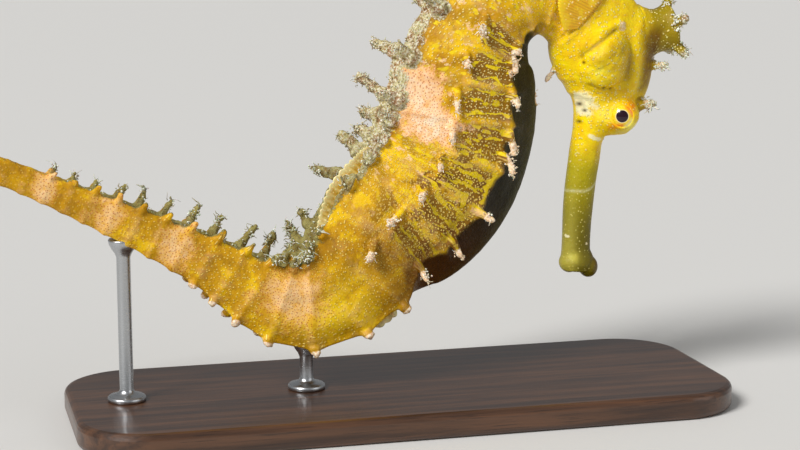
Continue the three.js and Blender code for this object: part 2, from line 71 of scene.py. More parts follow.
# The body line: x, z, half depth, half width and the form of the section.
STATIONS = [
    (22.1, 15.4, 1.7, 1.5, SNOUT),
    (22.15, 16.5, 2.1, 1.85, SNOUT),
    (22.0, 18.1, 1.75, 1.5, SNOUT),
    (22.25, 24.0, 1.85, 1.5, SNOUT),
    (22.95, 29.5, 1.95, 1.75, SNOUT),
    (23.9, 33.0, 2.5, 2.4, HEAD),
    (25.1, 36.1, 4.5, 3.1, HEAD),
    (25.3, 39.5, 5.8, 3.9, HEAD),
    (24.0, 43.8, 6.2, 4.1, HEAD),
    (21.1, 47.2, 5.2, 3.8, NECK),
    (16.7, 48.5, 4.4, 3.5, NECK),
    (12.4, 47.1, 5.4, 3.8, NECK),
    (9.5, 43.7, 7.0, 4.4, TRUNK),
    (8.1, 38.8, 8.6, 5.1, TRUNK),
    (7.2, 33.1, 9.2, 5.6, TRUNK),
    (5.1, 27.8, 9.5, 5.7, TRUNK),
    (2.1, 24.0, 9.3, 5.5, TRUNK),
    (-1.6, 21.0, 8.4, 5.1, TRUNK),
    (-4.8, 17.8, 7.1, 4.7, TAIL),
    (-8.0, 14.6, 5.9, 4.3, TAIL),
    (-11.6, 13.2, 5.1, 4.0, TAIL),
    (-16.0, 14.2, 4.4, 3.6, TAIL),
    (-23.5, 19.1, 3.0, 2.7, TAIL),
    (-33.3, 24.3, 2.2, 2.0, TAIL),
    (-41.3, 28.1, 1.65, 1.55, TAIL),
    (-49.0, 31.4, 1.35, 1.25, TAIL),
]
CURL = {"first": 5.4, "last": 2.0, "turns": 1.2, "stations": 16, "tip": 0.45}
TRUNK_RINGS, TAIL_RINGS = 11, 35
RING_GROWTH, RING_SHRINK = 1.2, 0.965  # how the rings lengthen down the trunk and shorten down the tail
NECK_START, TAIL_START = 8.55, 17.25  # as station numbers
EYE = {"at": (26.6, 2.75, 34.4), "radius": 1.95, "turret": 2.35, "sunk": 0.9}
LIPS = [(23.6, 15.9, 1.15, 1.5, 1.35), (21.2, 16.5, 1.25, 1.45, 1.25)]  # x, z and three radii
CROWN = {"at": (30.0, 0.0, 43.9), "tilt": 10, "height": 3.7}
CROWN |= {"spines": 5, "spread": 1.5, "spine": (2.9, 0.95)}  # the spine's length and radius
SPINE = {"upper": 0.95, "finger": 0.8, "knob": 0.7, "thinned": 0.45, "forward": 1.6, "bare": 3}
# The upper ridges' spines, ring by ring from the head: left length, right length, lean.
UPPER_SPINES = [
    (3.6, 3.6, -0.25),
    (2.6, 2.6, -0.25),
    (2.6, 2.6, -0.25),
    (3.4, 3.4, -0.25),
    (2.6, 2.2, -0.25),
    (3.4, 2.4, -0.35),
    (3.6, 2.4, -0.25),
    (2.2, 1.4, -0.25),
    (1.8, 1.0, -0.1),
    (2.8, 0.8, 0),
    (3.3, 0.8, 0.6),
    (2.2, 1.0, -0.1),
    (3.4, 1.8, -0.1),
    (3.4, 1.8, -0.1),
    (3.2, 1.6, -0.1),
    (3.2, 1.5, -0.1),
    (2.8, 1.4, -0.1),
    (2.6, 1.3, -0.1),
    (2.6, 1.2, -0.1),
    (2.2, 1.0, -0.1),
    (2.0, 1.0, -0.1),
    (2.0, 1.0, -0.1),
    (1.6, 0.9, -0.1),
    (1.3, 0.8, -0.1),
    (1.3, 0.8, -0.1),
]
PALE_FROM = 5  # the tail ring from which the near row's spines are bare of algae
# The lower ridges' fingers on the trunk: length, lean, shift along the body.
FINGERS = [
    (0.9, 1.1, 1.3),
    (0.9, 1.8, 0.8),
    (1.4, 1.6, 0.5),
    (1.9, 1.8, 0.7),
    (2.1, 0.8, -1.4),
    (2.3, 0.25, -0.2),
    (2.3, 0.25, -1.0),
    (2.2, 0.35, -1.0),
]
SIDE_KNOB = {"ridge": 2.7, "length": 1.2, "lean": 0.6, "shift": 1.2}
TAIL_KNOBS = {"rings": 7, "length": 1.1, "last": 0.6}
DORSAL_FIN = {"from": 15.6, "to": 18.1, "height": 1.6, "rays": 18, "q": 0}
ANAL_FIN = {"from": 18.2, "to": 18.9, "height": 1.7, "rays": 4, "q": KEEL}
PECTORAL_FIN = {"from": 8.75, "length": 4.6, "low": 2.2, "high": 4.2, "rays": 17}
PECTORAL_FIN |= {"spread": 0.55, "lift": 0.35}
BASE = {"length": 78, "width": 30, "thick": 3, "corner": 8}
ROD_AT = {"body": -11.4, "tail": -32.5}
SKIN_NODES = ["head", "snout", "coronet", "neck", "trunk_upper", "trunk_lower", "tail_root", "tail_middle"]
SKIN_NODES += ["tail_far", "tail_curl_outer", "tail_curl_inner"]

# ---------- the looks' own sizes ----------

VOXEL = 0.15  # the skin's mesh size
RIDGES = [(1, 0.20, 0.22), (3, 0.18, 0.22), (5, 0.30, 0.22), (KEEL, 0.1, 0.4)]  # place q, height and width
DRAWN_IN, DRAWN_IN_BELOW = 0.045, 0.035  # how far a ring's wall is drawn in between its ends, as a share
CREST, HOLLOW = 0.16, 0.16  # a ring's end stands out, and the plates between the ridges are hollow
# Spines of the head: x, y, z, direction, length, radius, seed. They stand where the solids' spines
# do, and most of them are longer and slimmer.
HEAD_SPINES = {
    "eye": (28.8, 1.7, 35.4, 0.9, 0.45, 0.2, 2.21, 0.805, 50),
    "brow": (30.3, 1.3, 40.1, 1, 0.3, 0.05, 2.31, 0.6, 51),
    "gill": (26.0, 3.3, 45.0, 0.1, 1, 0.25, 0.27, 0.455, 53),
    "throat": (19.6, 0, 40.9, -0.7, 0, -1, 2.97, 0.434, 70),
    "nose": (24.9, 0, 31.6, 1, 0, -0.1, 0.72, 0.56, 71),
}
CROWN_SEED = 91
# Kinds of spine: roughness, how pale the tip is, how long its algae is, and the crust of algae: where
# along the spine it starts, where it is full, and how thick it is.
KINDS = {
    "upper": (0.45, 1.0, 0.4, -0.8, -0.1, 1.0),
    "tail": (0.45, 1.0, 0.6, 0.05, 0.6, 1.0),
    "pale": (0.3, 0.18, 0, 0, 1, 0),
    "low": (0.3, 1.0, 0, 0, 1, 0),
    "finger": (0.35, 1.0, 0.32, 0, 1, 0),
    "knob": (0.5, 1.0, 0.38, 0, 1, 0),
    "eye": (0.25, 0.9, 0.8, 0.55, 1.0, 0.8),
    "brow": (0.25, 0.8, 0.5, 0.55, 1.0, 0.8),
    "gill": (0.25, 0.55, 0, 0, 1, 0),
    "throat": (0.2, 1.0, 0.2, 0, 1, 0),
    "nose": (0.2, 1.0, 0, 0, 1, 0),
    "crown": (0.2, 0.1, 0.45, 0.55, 1.0, 0.8),
}
BLUNT, STUBBY = 0.42, 0.75  # a spine's radius at its tip, as a share
# The coronet's stem: radius and height over its foot. It is flattened at the foot.
CROWN_STEM = [(0, -1.6), (3.7, -1.6), (3.6, 0), (3.2, 0.5), (2.75, 1.3), (2.6, 2.0), (2.75, 2.8), (3.0, 3.3)]
CROWN_STEM += [(3.0, 3.6), (2.6, 3.75), (1.9, 3.4), (1.0, 3.05), (0, 2.95)]
CROWN_FLAT = 0.62
LID = {"radius": 2.04, "under": 1.72, "opening": 0.68}  # the opening is an angle from the line of sight
GAZE = (-0.38, 0.92, 0.09)  # the left eye's, mirrored for the right one
# Angles from the line of sight at which the pupil and the pale ring round it end and are full.
PUPIL, PALE_RING = (0.395, 0.365), (0.44, 0.405)

# Features of the head, as x and z in the side view.
DOME = {"at": (24.1, 41.0), "long": 3.9, "high": 3.1, "tilt": 62, "raised": 1.3}  # the gill cover's bulge
GROOVE = [(20.9, 40.9), (21.3, 42.0), (22.7, 43.2), (24.1, 44.1), (25.6, 45.0)]
GILL_FLOOR = [(22.4, 38.4), (23.3, 37.9), (24.9, 37.8)]
FACE_RIDGE = [(29.2, 46.4), (28.4, 43.9), (28.0, 40.8), (27.5, 38.0), (27.0, 36.8)]
OVER_GILL = [(23.4, 44.6), (25.8, 45.4)]
FIN_BAND = [(19.0, 43.0), (20.6, 45.0), (22.5, 46.8)]
RAISED_LINES = ((FACE_RIDGE, 0.28, 0.75), (OVER_GILL, 0.3, 0.5), (FIN_BAND, 0.32, 0.38))  # height, width
NOSE_MARK = [(22.9, 32.0), (24.1, 31.5)]
CHEEK = (21.8, 36.2)
# Pits and pale marks: x, z and radius.
PITS = [(21.75, 35.8, 0.26), (22.2, 35.05, 0.2), (21.8, 33.7, 0.22)]
PITS += [(23.8, 38.0, 0.2), (24.7, 37.8, 0.2), (21.4, 41.0, 0.2)]
SNOUT_MARKS = [(20.6, 19.9, 0.45), (20.8, 28.8, 0.35), (22.8, 18.9, 0.3)]
SNOUT_BAND = {"z": 25.35, "from": 22.3, "rise": 0.28, "half": 0.17}
# Soft spots of colour on the head: x, z, reach along x, reach along z, strength. The light and bright spots
# are painted highlights and the hollow one is painted shade.
HEAD_SPOTS = {
    "warm": [(27.3, 35.7, 0.8, 0.8, 1.0), (25.1, 33.2, 0.55, 0.55, 0.9)],
    "light": [(27.0, 33.3, 0.8, 0.8, 1.0), (24.2, 34.7, 0.8, 0.8, 0.5)],
    "bright": [(23.0, 40.2, 1.1, 1.6, 1.0)],
    "dotty": [(25.6, 40.9, 1.8, 3.2, 1.0), (24.6, 36.6, 1.3, 1.3, 1.0)],
    "hollow": [(26.7, 40.4, 0.9, 2.8, 0.6)],
}
# The same on the flanks: s, q, reach along s, reach along q, strength. The bright spot is a painted
# highlight.
FLANK_SPOTS = {"bright": [(84.5, 3.4, 4.5, 1.1, 0.75)], "umber": [(74.5, 4.0, 3.4, 1.4, 0.5)]}
# Pale saddles: s, q, reach along s, reach along q. The first two make one.
SADDLES = [
    (54.0, 1.5, 3.19, 0.96),
    (57.6, 2.0, 2.64, 1.2),
    (88.3, 2.4, 4.84, 1.8),
    (103.3, 2.6, 2.42, 2.64),
    (112.0, 3.0, 1.98, 3.12),
    (119.8, 3.0, 1.65, 3.6),
    (127.2, 3.0, 1.54, 3.84),
    (134.2, 3.0, 1.43, 4.08),
    (140.8, 3.0, 1.32, 4.32),
    (146.8, 3.0, 1.21, 4.32),
]
SADDLE_STRENGTH = 1.2
FLUSHED = (53.0, 57.5)  # the stretch over which the first saddle goes from pink to white

# The plaque's edge, as how far in and how high. The rods, as radius and height over the plaque, and as
# radius and height over the keel.
PLAQUE_EDGE = [(0.7, 0), (0.35, 0.12), (0.12, 0.35), (0, 0.7)]
PLAQUE_RIM = 1.6
ROD_FOOT = [(2.05, 0), (2.2, 0.1), (2.2, 0.45), (2.0, 0.65), (1.3, 0.8), (0.95, 1.0), (0.8, 1.4)]
ROD_CUP = [(0.8, -1.6), (1.0, -1.1), (1.35, -0.6), (1.6, -0.1), (1.7, 0.35), (1.62, 0.5), (1.4, 0.5)]
TUFTS, THREADS = 1500, 3  # the threads are those of one tuft
THREAD_RINGS, THREAD_SIDES = 5, 4
PATCH = 0.003  # the size of a tuft's patch on the UV map
CAMERA = {"lens": 85, "sensor": 36, "at": (-15, 10, 222.22)}  # at an azimuth, elevation and distance
TARGET = (0, 0, 22.0)
LIGHTS = {"key": (-58, 40, 3.2, 22), "fill": (50, 25, 0.35, 40)}  # azimuth, elevation, power, softness
LIGHT_FAR = 500
SKY, SKY_POWER = (226, 228, 230), 0.33
FLOOR, FLOOR_HALF = (222, 220, 216), 3000

# ---------- small helpers ----------


def lerp(a, b, f):
    return a + (b - a) * f


def smoothstep(lo, hi, x):
    f = np.clip((x - lo) / (hi - lo), 0, 1)
    return f * f * (3 - 2 * f)


def between(x, start, full, fade, end):
    """Rises from 0 at the start to 1 where full, and falls back from fade to the end."""
    return smoothstep(start, full, x) * smoothstep(end, fade, x)


def bell(x, width):
    return np.exp(-((x / width) ** 2))


def spots(rows, a, b):
    """Soft spots at places a and b, added up to 1 at most."""
    shares = (high * bell(np.hypot((a - x) / wide, (b - y) / tall), 1) for x, y, wide, tall, high in rows)
    return np.minimum(sum(shares), 1)


def unit(v):
    v = np.asarray(v, float)
    return v / np.maximum(np.linalg.norm(v, axis=-1, keepdims=True), 1e-9)


def circle(count):
    """The cosine and sine of that many even turns round a circle, as columns."""
    turn = np.linspace(0, 2 * math.pi, count, endpoint=False)
    return np.stack([np.cos(turn), np.sin(turn)], -1)


def rings_round(side, up, count):
    """That many points round each pair of sideways and upward directions."""
    return circle(count) @ np.stack([side, up], -2)


def lattice(i, j, k, seed):
    """A random number from 0 to 1 at each whole-number place, from bits mixed by large primes."""
    n = (i * 73856093) ^ (j * 19349663) ^ (k * 83492791) ^ (seed * 2654435761)
    n = (n ^ (n >> 13)) * 1274126177
    n = n ^ (n >> 16)
    return (n & 0xFFFF) / 0xFFFF


def noise(points, size, seed=0, octaves=1):
    """Smooth noise from -1 to 1, whose waves are about that size in mm."""
    total, whole = np.zeros(len(points)), 0.0
    for octave in range(octaves):
        p = points / (size / 2**octave) + 31.7 * (octave + 1)
        base = np.floor(p).astype(np.int64)
        f = smoothstep(0, 1, p - base)
        value = np.zeros(len(p))
        for corner in np.ndindex(2, 2, 2):
            share = np.where(corner, f, 1 - f).prod(1)
            value += share * lattice(*(base + corner).T, seed + octave)
        total += 0.5**octave * (2 * value - 1)
        whole += 0.5**octave
    return total / whole


def mesh_object(name, points, faces, smooth=True):
    """An object from points in mm and faces that are all triangles or all quads."""
    points, faces = np.asarray(points, float), np.asarray(faces, np.int32)
    a, b, c = (points[faces[:, k]] for k in range(3))
    if np.einsum("ij,ij->", a, np.cross(b, c)) < 0:
        faces = np.ascontiguousarray(faces[:, ::-1])
    count, sides = faces.shape
    mesh = bpy.data.meshes.new(name)
    mesh.vertices.add(len(points))
    mesh.vertices.foreach_set("co", (points * MM).astype(np.float32).ravel())
    mesh.loops.add(count * sides)
    mesh.loops.foreach_set("vertex_index", faces.ravel())
    mesh.polygons.add(count)
    mesh.polygons.foreach_set("loop_start", np.arange(0, count * sides, sides, dtype=np.int32))
    mesh.update(calc_edges=True)
    mesh.validate()
    mesh.polygons.foreach_set("use_smooth", np.full(count, smooth, bool))
    obj = bpy.data.objects.new(name, mesh)
    bpy.context.scene.collection.objects.link(obj)
    return obj


def grid_faces(rows, around, closed=True):
    """Quads between rows of points, each row a ring or an open line."""
    r, k = np.meshgrid(np.arange(rows - 1), np.arange(around if closed else around - 1), indexing="ij")
    nxt = (k + 1) % around
    faces = np.stack([r * around + k, r * around + nxt, (r + 1) * around + nxt, (r + 1) * around + k], -1)
    return faces.reshape(-1, 4)


def joined(parts):
    """Points and triangles of several closed shapes as one list each."""
    points, faces, start = [], [], 0
    for p, f in parts:
        points.append(p)
        faces.append(f + start)
        start += len(p)
    return np.concatenate(points), np.concatenate(faces)


def capped(points, rows, around, first, last):
    """Rows of rings closed at both ends by a point, as points and triangles."""
    k = np.arange(around)
    n = (k + 1) % around
    a, b = len(points), len(points) + 1
    end = (rows - 1) * around
    quads = grid_faces(rows, around)
    caps = [np.stack([np.full(around, a), n, k], -1), np.stack([np.full(around, b), end + k, end + n], -1)]
    faces = np.concatenate([quads[:, [0, 1, 2]], quads[:, [0, 2, 3]], *caps])
    return np.vstack([points, [first, last]]), faces


def ball(at, radii, around=40, up=24):
    """An ellipsoid, as points and triangles."""
    turn = np.repeat(np.linspace(0, math.pi, up + 1)[1:-1], around)[:, None]
    rings = np.hstack([np.sin(turn) * np.tile(circle(around), (up - 1, 1)), np.cos(turn)])
    points, faces = capped(rings, up - 1, around, (0, 0, 1), (0, 0, -1))
    return points * radii + at, faces[:, ::-1]


def tube(line, radius, around, rough, seed):
    """A round-ended tube along a line of points, as points and triangles. Radius is one per point."""
    way = unit(np.gradient(line, axis=0))
    side = unit(np.cross(way, [0.31, 0.83, 0.47]))
    ring = rings_round(side, np.cross(side, way), around)
    r = radius[:, None] * np.ones(around)
    even = (line[:, None] + ring * r[..., None]).reshape(-1, 3)
    r = r * (1 + rough * noise(even, 0.7, seed, 2).reshape(r.shape))
    points = (line[:, None] + ring * r[..., None]).reshape(-1, 3)
    first = line[0] - way[0] * radius[0] * 0.6
    last = line[-1] + way[-1] * radius[-1] * 0.6
    return capped(points, len(line), around, first, last)


def turned(profile, foot, axis=(0, 0, 1), around=48):
    """A turned shape about an axis, from pairs of radius and distance along it, as points and triangles."""
    r, h = np.array(profile, float).T
    axis = unit(axis)
    side = unit(np.cross(axis, [0.0, 1.0, 0.0]))
    ring = rings_round(side, np.cross(axis, side), around)
    middle = foot + axis * h[:, None]
    points = (middle[:, None] + ring[None] * np.maximum(r, 1e-3)[:, None, None]).reshape(-1, 3)
    return capped(points, len(profile), around, middle[0], middle[-1])


# ---------- the body line ----------


def all_stations():
    rows = [list(row) for row in STATIONS]
    x, z, deep, wide, _ = rows[-1]
    heading = math.atan2(z - rows[-2][1], x - rows[-2][0])
    start = heading - math.pi / 2
    centre = (x - CURL["first"] * math.cos(start), z - CURL["first"] * math.sin(start))
    for i in range(1, CURL["stations"] + 1):
        f = i / CURL["stations"]
        turn = start + f * CURL["turns"] * 2 * math.pi
        radius = lerp(CURL["first"], CURL["last"], f)
        slim = lerp(1, CURL["tip"] / deep, f)
        at = (centre[0] + radius * math.cos(turn), centre[1] + radius * math.sin(turn))
        rows.append([*at, deep * slim, wide * slim, TAIL])
    return rows


ROWS = all_stations()
COLUMNS = np.array([row[:4] for row in ROWS])
FORMS = np.array([row[4] for row in ROWS], float)
ALONG = np.concatenate([[0], np.cumsum(np.hypot(*np.diff(COLUMNS[:, :2], axis=0).T))])
BEFORE = np.maximum(np.arange(len(ROWS)) - 1, 0)
AFTER = np.minimum(np.arange(len(ROWS)) + 1, len(ROWS) - 1)
SLOPES = (COLUMNS[AFTER] - COLUMNS[BEFORE]) / (ALONG[AFTER] - ALONG[BEFORE])[:, None]
END = ALONG[-1]


def distance(station):
    return float(np.interp(station, np.arange(len(ROWS)), ALONG))


NECK_AT, TAIL_AT = distance(NECK_START), distance(TAIL_START)
OLIVE = (distance(5.2), distance(1.0))  # where the snout's olive starts and where it is full
NAPE = (NECK_AT + 2, NECK_AT + 14)  # where the nape's brighter yellow is full and where it ends


def at(s):
    """The body line at distances s: centre, way to the tail, way to the back, depth, width, section."""
    s = np.atleast_1d(np.asarray(s, float))
    i = np.clip(np.searchsorted(ALONG, s, side="right") - 1, 0, len(ROWS) - 2)
    span = (ALONG[i + 1] - ALONG[i])[:, None]
    f = (s - ALONG[i])[:, None] / span

    def columns(f):
        return (
            (2 * f**3 - 3 * f**2 + 1) * COLUMNS[i]
            + (f**3 - 2 * f**2 + f) * span * SLOPES[i]
            + (3 * f**2 - 2 * f**3) * COLUMNS[i + 1]
            + (f**3 - f**2) * span * SLOPES[i + 1]
        )

    here, ahead = columns(f), columns(f + 0.02)
    zero = np.zeros(len(s))
    way = unit(np.stack([ahead[:, 0] - here[:, 0], zero, ahead[:, 1] - here[:, 1]], -1))
    return SimpleNamespace(
        centre=np.stack([here[:, 0], zero, here[:, 1]], -1),
        way=way,
        back=np.stack([way[:, 2], zero, -way[:, 0]], -1),
        deep=here[:, 2],
        wide=here[:, 3],
        form=lerp(FORMS[i], FORMS[i + 1], smoothstep(0, 1, f)[:, :, None]),
    )


def on_section(form, q):
    """Points of the smooth closed sections at places q, one per section."""
    full = np.concatenate([form, form[:, KEEL - 1 : 0 : -1] * [1, -1]], 1)
    k = np.floor(q).astype(int)
    f = (q - k)[:, None]
    a, b, c, d = (full[np.arange(len(q)), (k + n) % CORNERS] for n in (-1, 0, 1, 2))
    return (
        b
        + 0.5 * f * (c - a)
        + 0.5 * f**2 * (2 * a - 5 * b + 4 * c - d)
        + 0.5 * f**3 * (3 * b - a - 3 * c + d)
    )


def skin_at(s, q, grow=0.0):
    """Points of the smooth skin at distances s and section places q, grown outwards by some mm."""
    s = np.atleast_1d(np.asarray(s, float))
    q = np.broadcast_to(np.asarray(q, float), s.shape)
    line = at(s)
    v, w = on_section(line.form, q).T
    points = line.centre + line.back * (v * (line.deep + grow))[:, None]
    points[:, 1] += w * (line.wide + grow)
    return points


def ring_places():
    long = TAIL_AT - NECK_AT
    trunk = [NECK_AT + long * (k / TRUNK_RINGS) ** RING_GROWTH for k in range(1, TRUNK_RINGS + 1)]
    shares = RING_SHRINK ** np.arange(TAIL_RINGS)
    return np.array(trunk + list(trunk[-1] + (END - TAIL_AT) * np.cumsum(shares) / shares.sum()))


RINGS = ring_places()


def ring_phase(s):
    """How far along its ring each distance is, as a ring number and a share of that ring."""
    phase = np.interp(s, np.concatenate([[NECK_AT], RINGS]), np.arange(len(RINGS) + 1))
    return phase.astype(int), phase - np.floor(phase)


# ---------- the skin's shapes before they are melted together ----------


def body_tube():
    """The whole body from the lips to the tail's tip, with its rings and ridges."""
    s = np.concatenate([np.arange(0.05, END - 0.3, 0.22), END - np.array([0.3, 0.15, 0.05])])
    around = 8 * CORNERS
    q = np.arange(around) * CORNERS / around
    ss, qq = (a.ravel() for a in np.meshgrid(s, q, indexing="ij"))
    ring, f = ring_phase(ss)
    line = at(ss)
    half = np.minimum(qq, CORNERS - qq)
    ringed = smoothstep(NECK_AT + 0.5, NECK_AT + 4, ss)
    fade = smoothstep(END, END - 35, ss)

    # each ring's wall is drawn in between its ends, and more so at the lower ridge
    arch = 1 - np.abs(2 * f - 1) ** 2.2
    dip = DRAWN_IN * arch * ringed * lerp(0.5, 1, fade) * smoothstep(6.3, 5.2, half)
    dip += DRAWN_IN_BELOW * arch * bell(half - 5, 0.5) * ringed * fade

    # the ridges run along, a crest runs round at each ring's end, and the plates between are hollow
    ridge = sum(high * bell(half - place, wide) for place, high, wide in RIDGES)
    span = np.gradient(RINGS)[np.minimum(ring, len(RINGS) - 1)]
    crest = CREST * bell(np.minimum(f, 1 - f) * span, 0.42) * smoothstep(6.2, 5.0, half)
    crest *= lerp(0.3, 1.0, smoothstep(1.6, 3.2, half))
    hollow = HOLLOW * np.sin(np.pi * np.clip(half, 1, 5) / 2) ** 2 * ((half > 1) & (half < 5))
    grow = (ridge - hollow + crest) * np.minimum(line.deep / 9.0, 1) * ringed

    rounded = np.sqrt(np.clip(1 - ((ss - (END - 0.5)) / 0.5).clip(0, 1) ** 2, 0.02, 1))
    scale = (1 - dip) * rounded
    v, w = on_section(line.form, qq).T
    points = line.centre + line.back * (v * (line.deep * scale + grow))[:, None]
    points[:, 1] += w * (line.wide * scale + grow)
    return capped(points, len(s), around, at(s[0]).centre[0], at(s[-1]).centre[0])


def spine(foot, direction, length, radius, kind, seed, bend=(0, 0, 0), blunt=BLUNT):
    """A blunt spine with a flared foot, as a shape and as its line."""
    direction = unit(direction)
    sunk = 0.9 / length
    t = np.array([-sunk, -sunk / 2, 0, 0.12, 0.28, 0.45, 0.62, 0.8, 0.93, 1.0])
    width = np.interp(t, [-sunk, 0, 0.15, 0.45, 0.85, 1.0], [0.6, 1.1, 0.9, 0.7, 0.6, BLUNT])
    width = width * lerp(1, blunt / BLUNT, np.clip(t, 0, 1))
    bent = np.outer(np.clip(t, 0, 1) ** 2, bend)
    line = foot + direction * (t * length)[:, None] + bent
    return tube(line, radius * width, 12, KINDS[kind][0], seed), (line[2], line[-1], radius, kind)


def body_spines():
    """Every spine of the trunk and tail, as shapes and as lines."""
    found = []
    for i, s in enumerate(RINGS):
        tail_ring = i - TRUNK_RINGS
        on_trunk = tail_ring < 0
        thin = 1 if on_trunk else lerp(1, SPINE["thinned"], i / len(UPPER_SPINES))
        for k, side in enumerate((1, -1)):
            if i < len(UPPER_SPINES):
                length, lean = UPPER_SPINES[i][k], UPPER_SPINES[i][2]
                kind = "upper" if on_trunk else "tail" if side > 0 or tail_ring < PALE_FROM else "pale"
                place = s - SPINE["forward"] if on_trunk else s
                found.append((place, 1, side, length, SPINE["upper"] * thin, lean, kind))
            if on_trunk and i >= SPINE["bare"]:
                length, lean, shift = FINGERS[i - SPINE["bare"]]
                found.append((s + shift, 5, side, length, SPINE["finger"], lean, "finger"))
                place, length, lean = (SIDE_KNOB[n] for n in ("ridge", "length", "lean"))
                found.append((s + SIDE_KNOB["shift"], place, side, length, SPINE["knob"], lean, "knob"))
            if 0 <= tail_ring < TAIL_KNOBS["rings"]:
                length = lerp(TAIL_KNOBS["length"], TAIL_KNOBS["last"], tail_ring / TAIL_KNOBS["rings"])
                found.append((s, 5, side, length, SPINE["knob"] * thin, 0, "low"))
    made = []
    for seed, (s, ridge, side, length, radius, lean, kind) in enumerate(found):
        foot = skin_at(s, ridge if side > 0 else CORNERS - ridge)[0]
        line = at(s)
        way, back = line.way[0], line.back[0]
        out = unit(foot - line.centre[0]) + lean * way
        jitter = rng.normal(0, 0.12, 3)
        bend = rng.normal(0, 0.1, 3) * length
        blunt = BLUNT
        if kind == "finger":  # they stand out, then droop towards the tail
            out -= 0.6 * lean * way
            bend += 0.4 * min(lean, 1) * length * way
            radius *= 0.72
        elif kind == "knob":  # they hang along the flank
            out = unit(out) + 0.8 * way - 0.6 * back
            length, radius = length * rng.uniform(1.5, 2.3), radius * rng.uniform(0.65, 0.9)
        elif kind == "low":
            length, radius, blunt = length * 0.7, radius * 1.2, STUBBY
        made.append(spine(foot, unit(out) + jitter, length, radius, kind, seed, bend, blunt))
    return made


def head_shapes():
    """The turrets, gill covers, lips, coronet and spines of the head, and the spines' lines."""
    shapes, lines = [], []

    def add_spine(*settings):
        shape, line = spine(*settings)
        shapes.append(shape)
        lines.append(line)

    def add_named_spine(name, side=1):
        x, y, z, dx, dy, dz, length, radius, seed = HEAD_SPINES[name]
        add_spine((x, y * side, z), (dx, dy * side, dz), length, radius, name, seed)

    x, y, z = EYE["at"]
    for side in (1, -1):
        shapes.append(ball((x, (y - EYE["sunk"]) * side, z), EYE["turret"]))
        shapes.append(ball((x, y * side, z), LID["radius"]))
        shapes.append(ball((x - 0.6, (y - 1.35) * side, z + 0.25), (3.0, 2.45, 2.7)))
        for name in ("eye", "brow", "gill"):
            add_named_spine(name, side)
    add_named_spine("throat")
    add_named_spine("nose")
    for x, z, *radii in LIPS:
        shapes.append(ball((x, 0, z), radii))
    tilt = math.radians(CROWN["tilt"])
    out = np.array([math.cos(tilt), 0, math.sin(tilt)])
    up = np.array([-math.sin(tilt), 0, math.cos(tilt)])
    foot = np.array(CROWN["at"])
    stem, faces = turned(CROWN_STEM, foot, out, 40)
    stem[:, 1] *= lerp(CROWN_FLAT, 1.0, smoothstep(0.0, 2.6, (stem - foot) @ out))
    shapes.append((stem, faces))
    for i in range(CROWN["spines"]):
        turn = i / CROWN["spines"] * 2 * math.pi
        # the star lies in the plane across the stem: the first spine points back over the head
        spread = math.cos(turn) * up + math.sin(turn) * np.array([0, 1, 0])
        start = foot + out * (CROWN["height"] - 0.7) + spread * CROWN["spread"]
        add_spine(start, spread + 0.5 * out, *CROWN["spine"], "crown", CROWN_SEED + i)
    return shapes, lines


# ---------- melting the shapes into one skin ----------


def melted(points, faces):
    """One closed surface round all the shapes, as points and quads."""
    obj = mesh_object("melt", points, faces)
    obj.data.transform(Matrix.Scale(1 / MM, 4))
    modifier = obj.modifiers.new("voxels", "REMESH")
    modifier.mode = "VOXEL"
    modifier.voxel_size = VOXEL
    modifier.adaptivity = 0
    mesh = bpy.data.meshes.new_from_object(obj.evaluated_get(bpy.context.evaluated_depsgraph_get()))
    found = np.zeros(len(mesh.vertices) * 3, np.float32)
    mesh.vertices.foreach_get("co", found)
    quads = corners_of(mesh).reshape(-1, 4)
    bpy.data.objects.remove(obj)
    bpy.data.meshes.remove(mesh)
    return found.reshape(-1, 3).astype(float), quads


def corners_of(mesh):
    """The point at each corner of each face, one face after the other."""
    loops = np.zeros(len(mesh.loops), np.int32)
    mesh.loops.foreach_get("vertex_index", loops)
    return loops


def edges_of(quads):
    pairs = np.concatenate([quads[:, [k, (k + 1) % 4]] for k in range(4)])
    pairs.sort(axis=1)
    return np.unique(pairs, axis=0)


def averaged(values, edges):
    """Each point's neighbours' mean."""
    a, b = edges.T
    count = np.bincount(edges.ravel(), minlength=len(values))
    columns = [np.bincount(a, v[b], len(v)) + np.bincount(b, v[a], len(v)) for v in values.T]
    return np.stack(columns, -1) / np.maximum(count, 1)[:, None]


def smoothed(points, edges, rounds):
    """Smooths without shrinking much."""
    for _ in range(rounds):
        for strength in (0.6, -0.58):
            points = points + strength * (averaged(points, edges) - points)
    return points


def normals_of(points, quads):
    a, b, c, d = points[quads.T]
    face = np.cross(c - a, d - b)
    total = [sum(np.bincount(corner, f, len(points)) for corner in quads.T) for f in face.T]
    return unit(np.stack(total, -1))


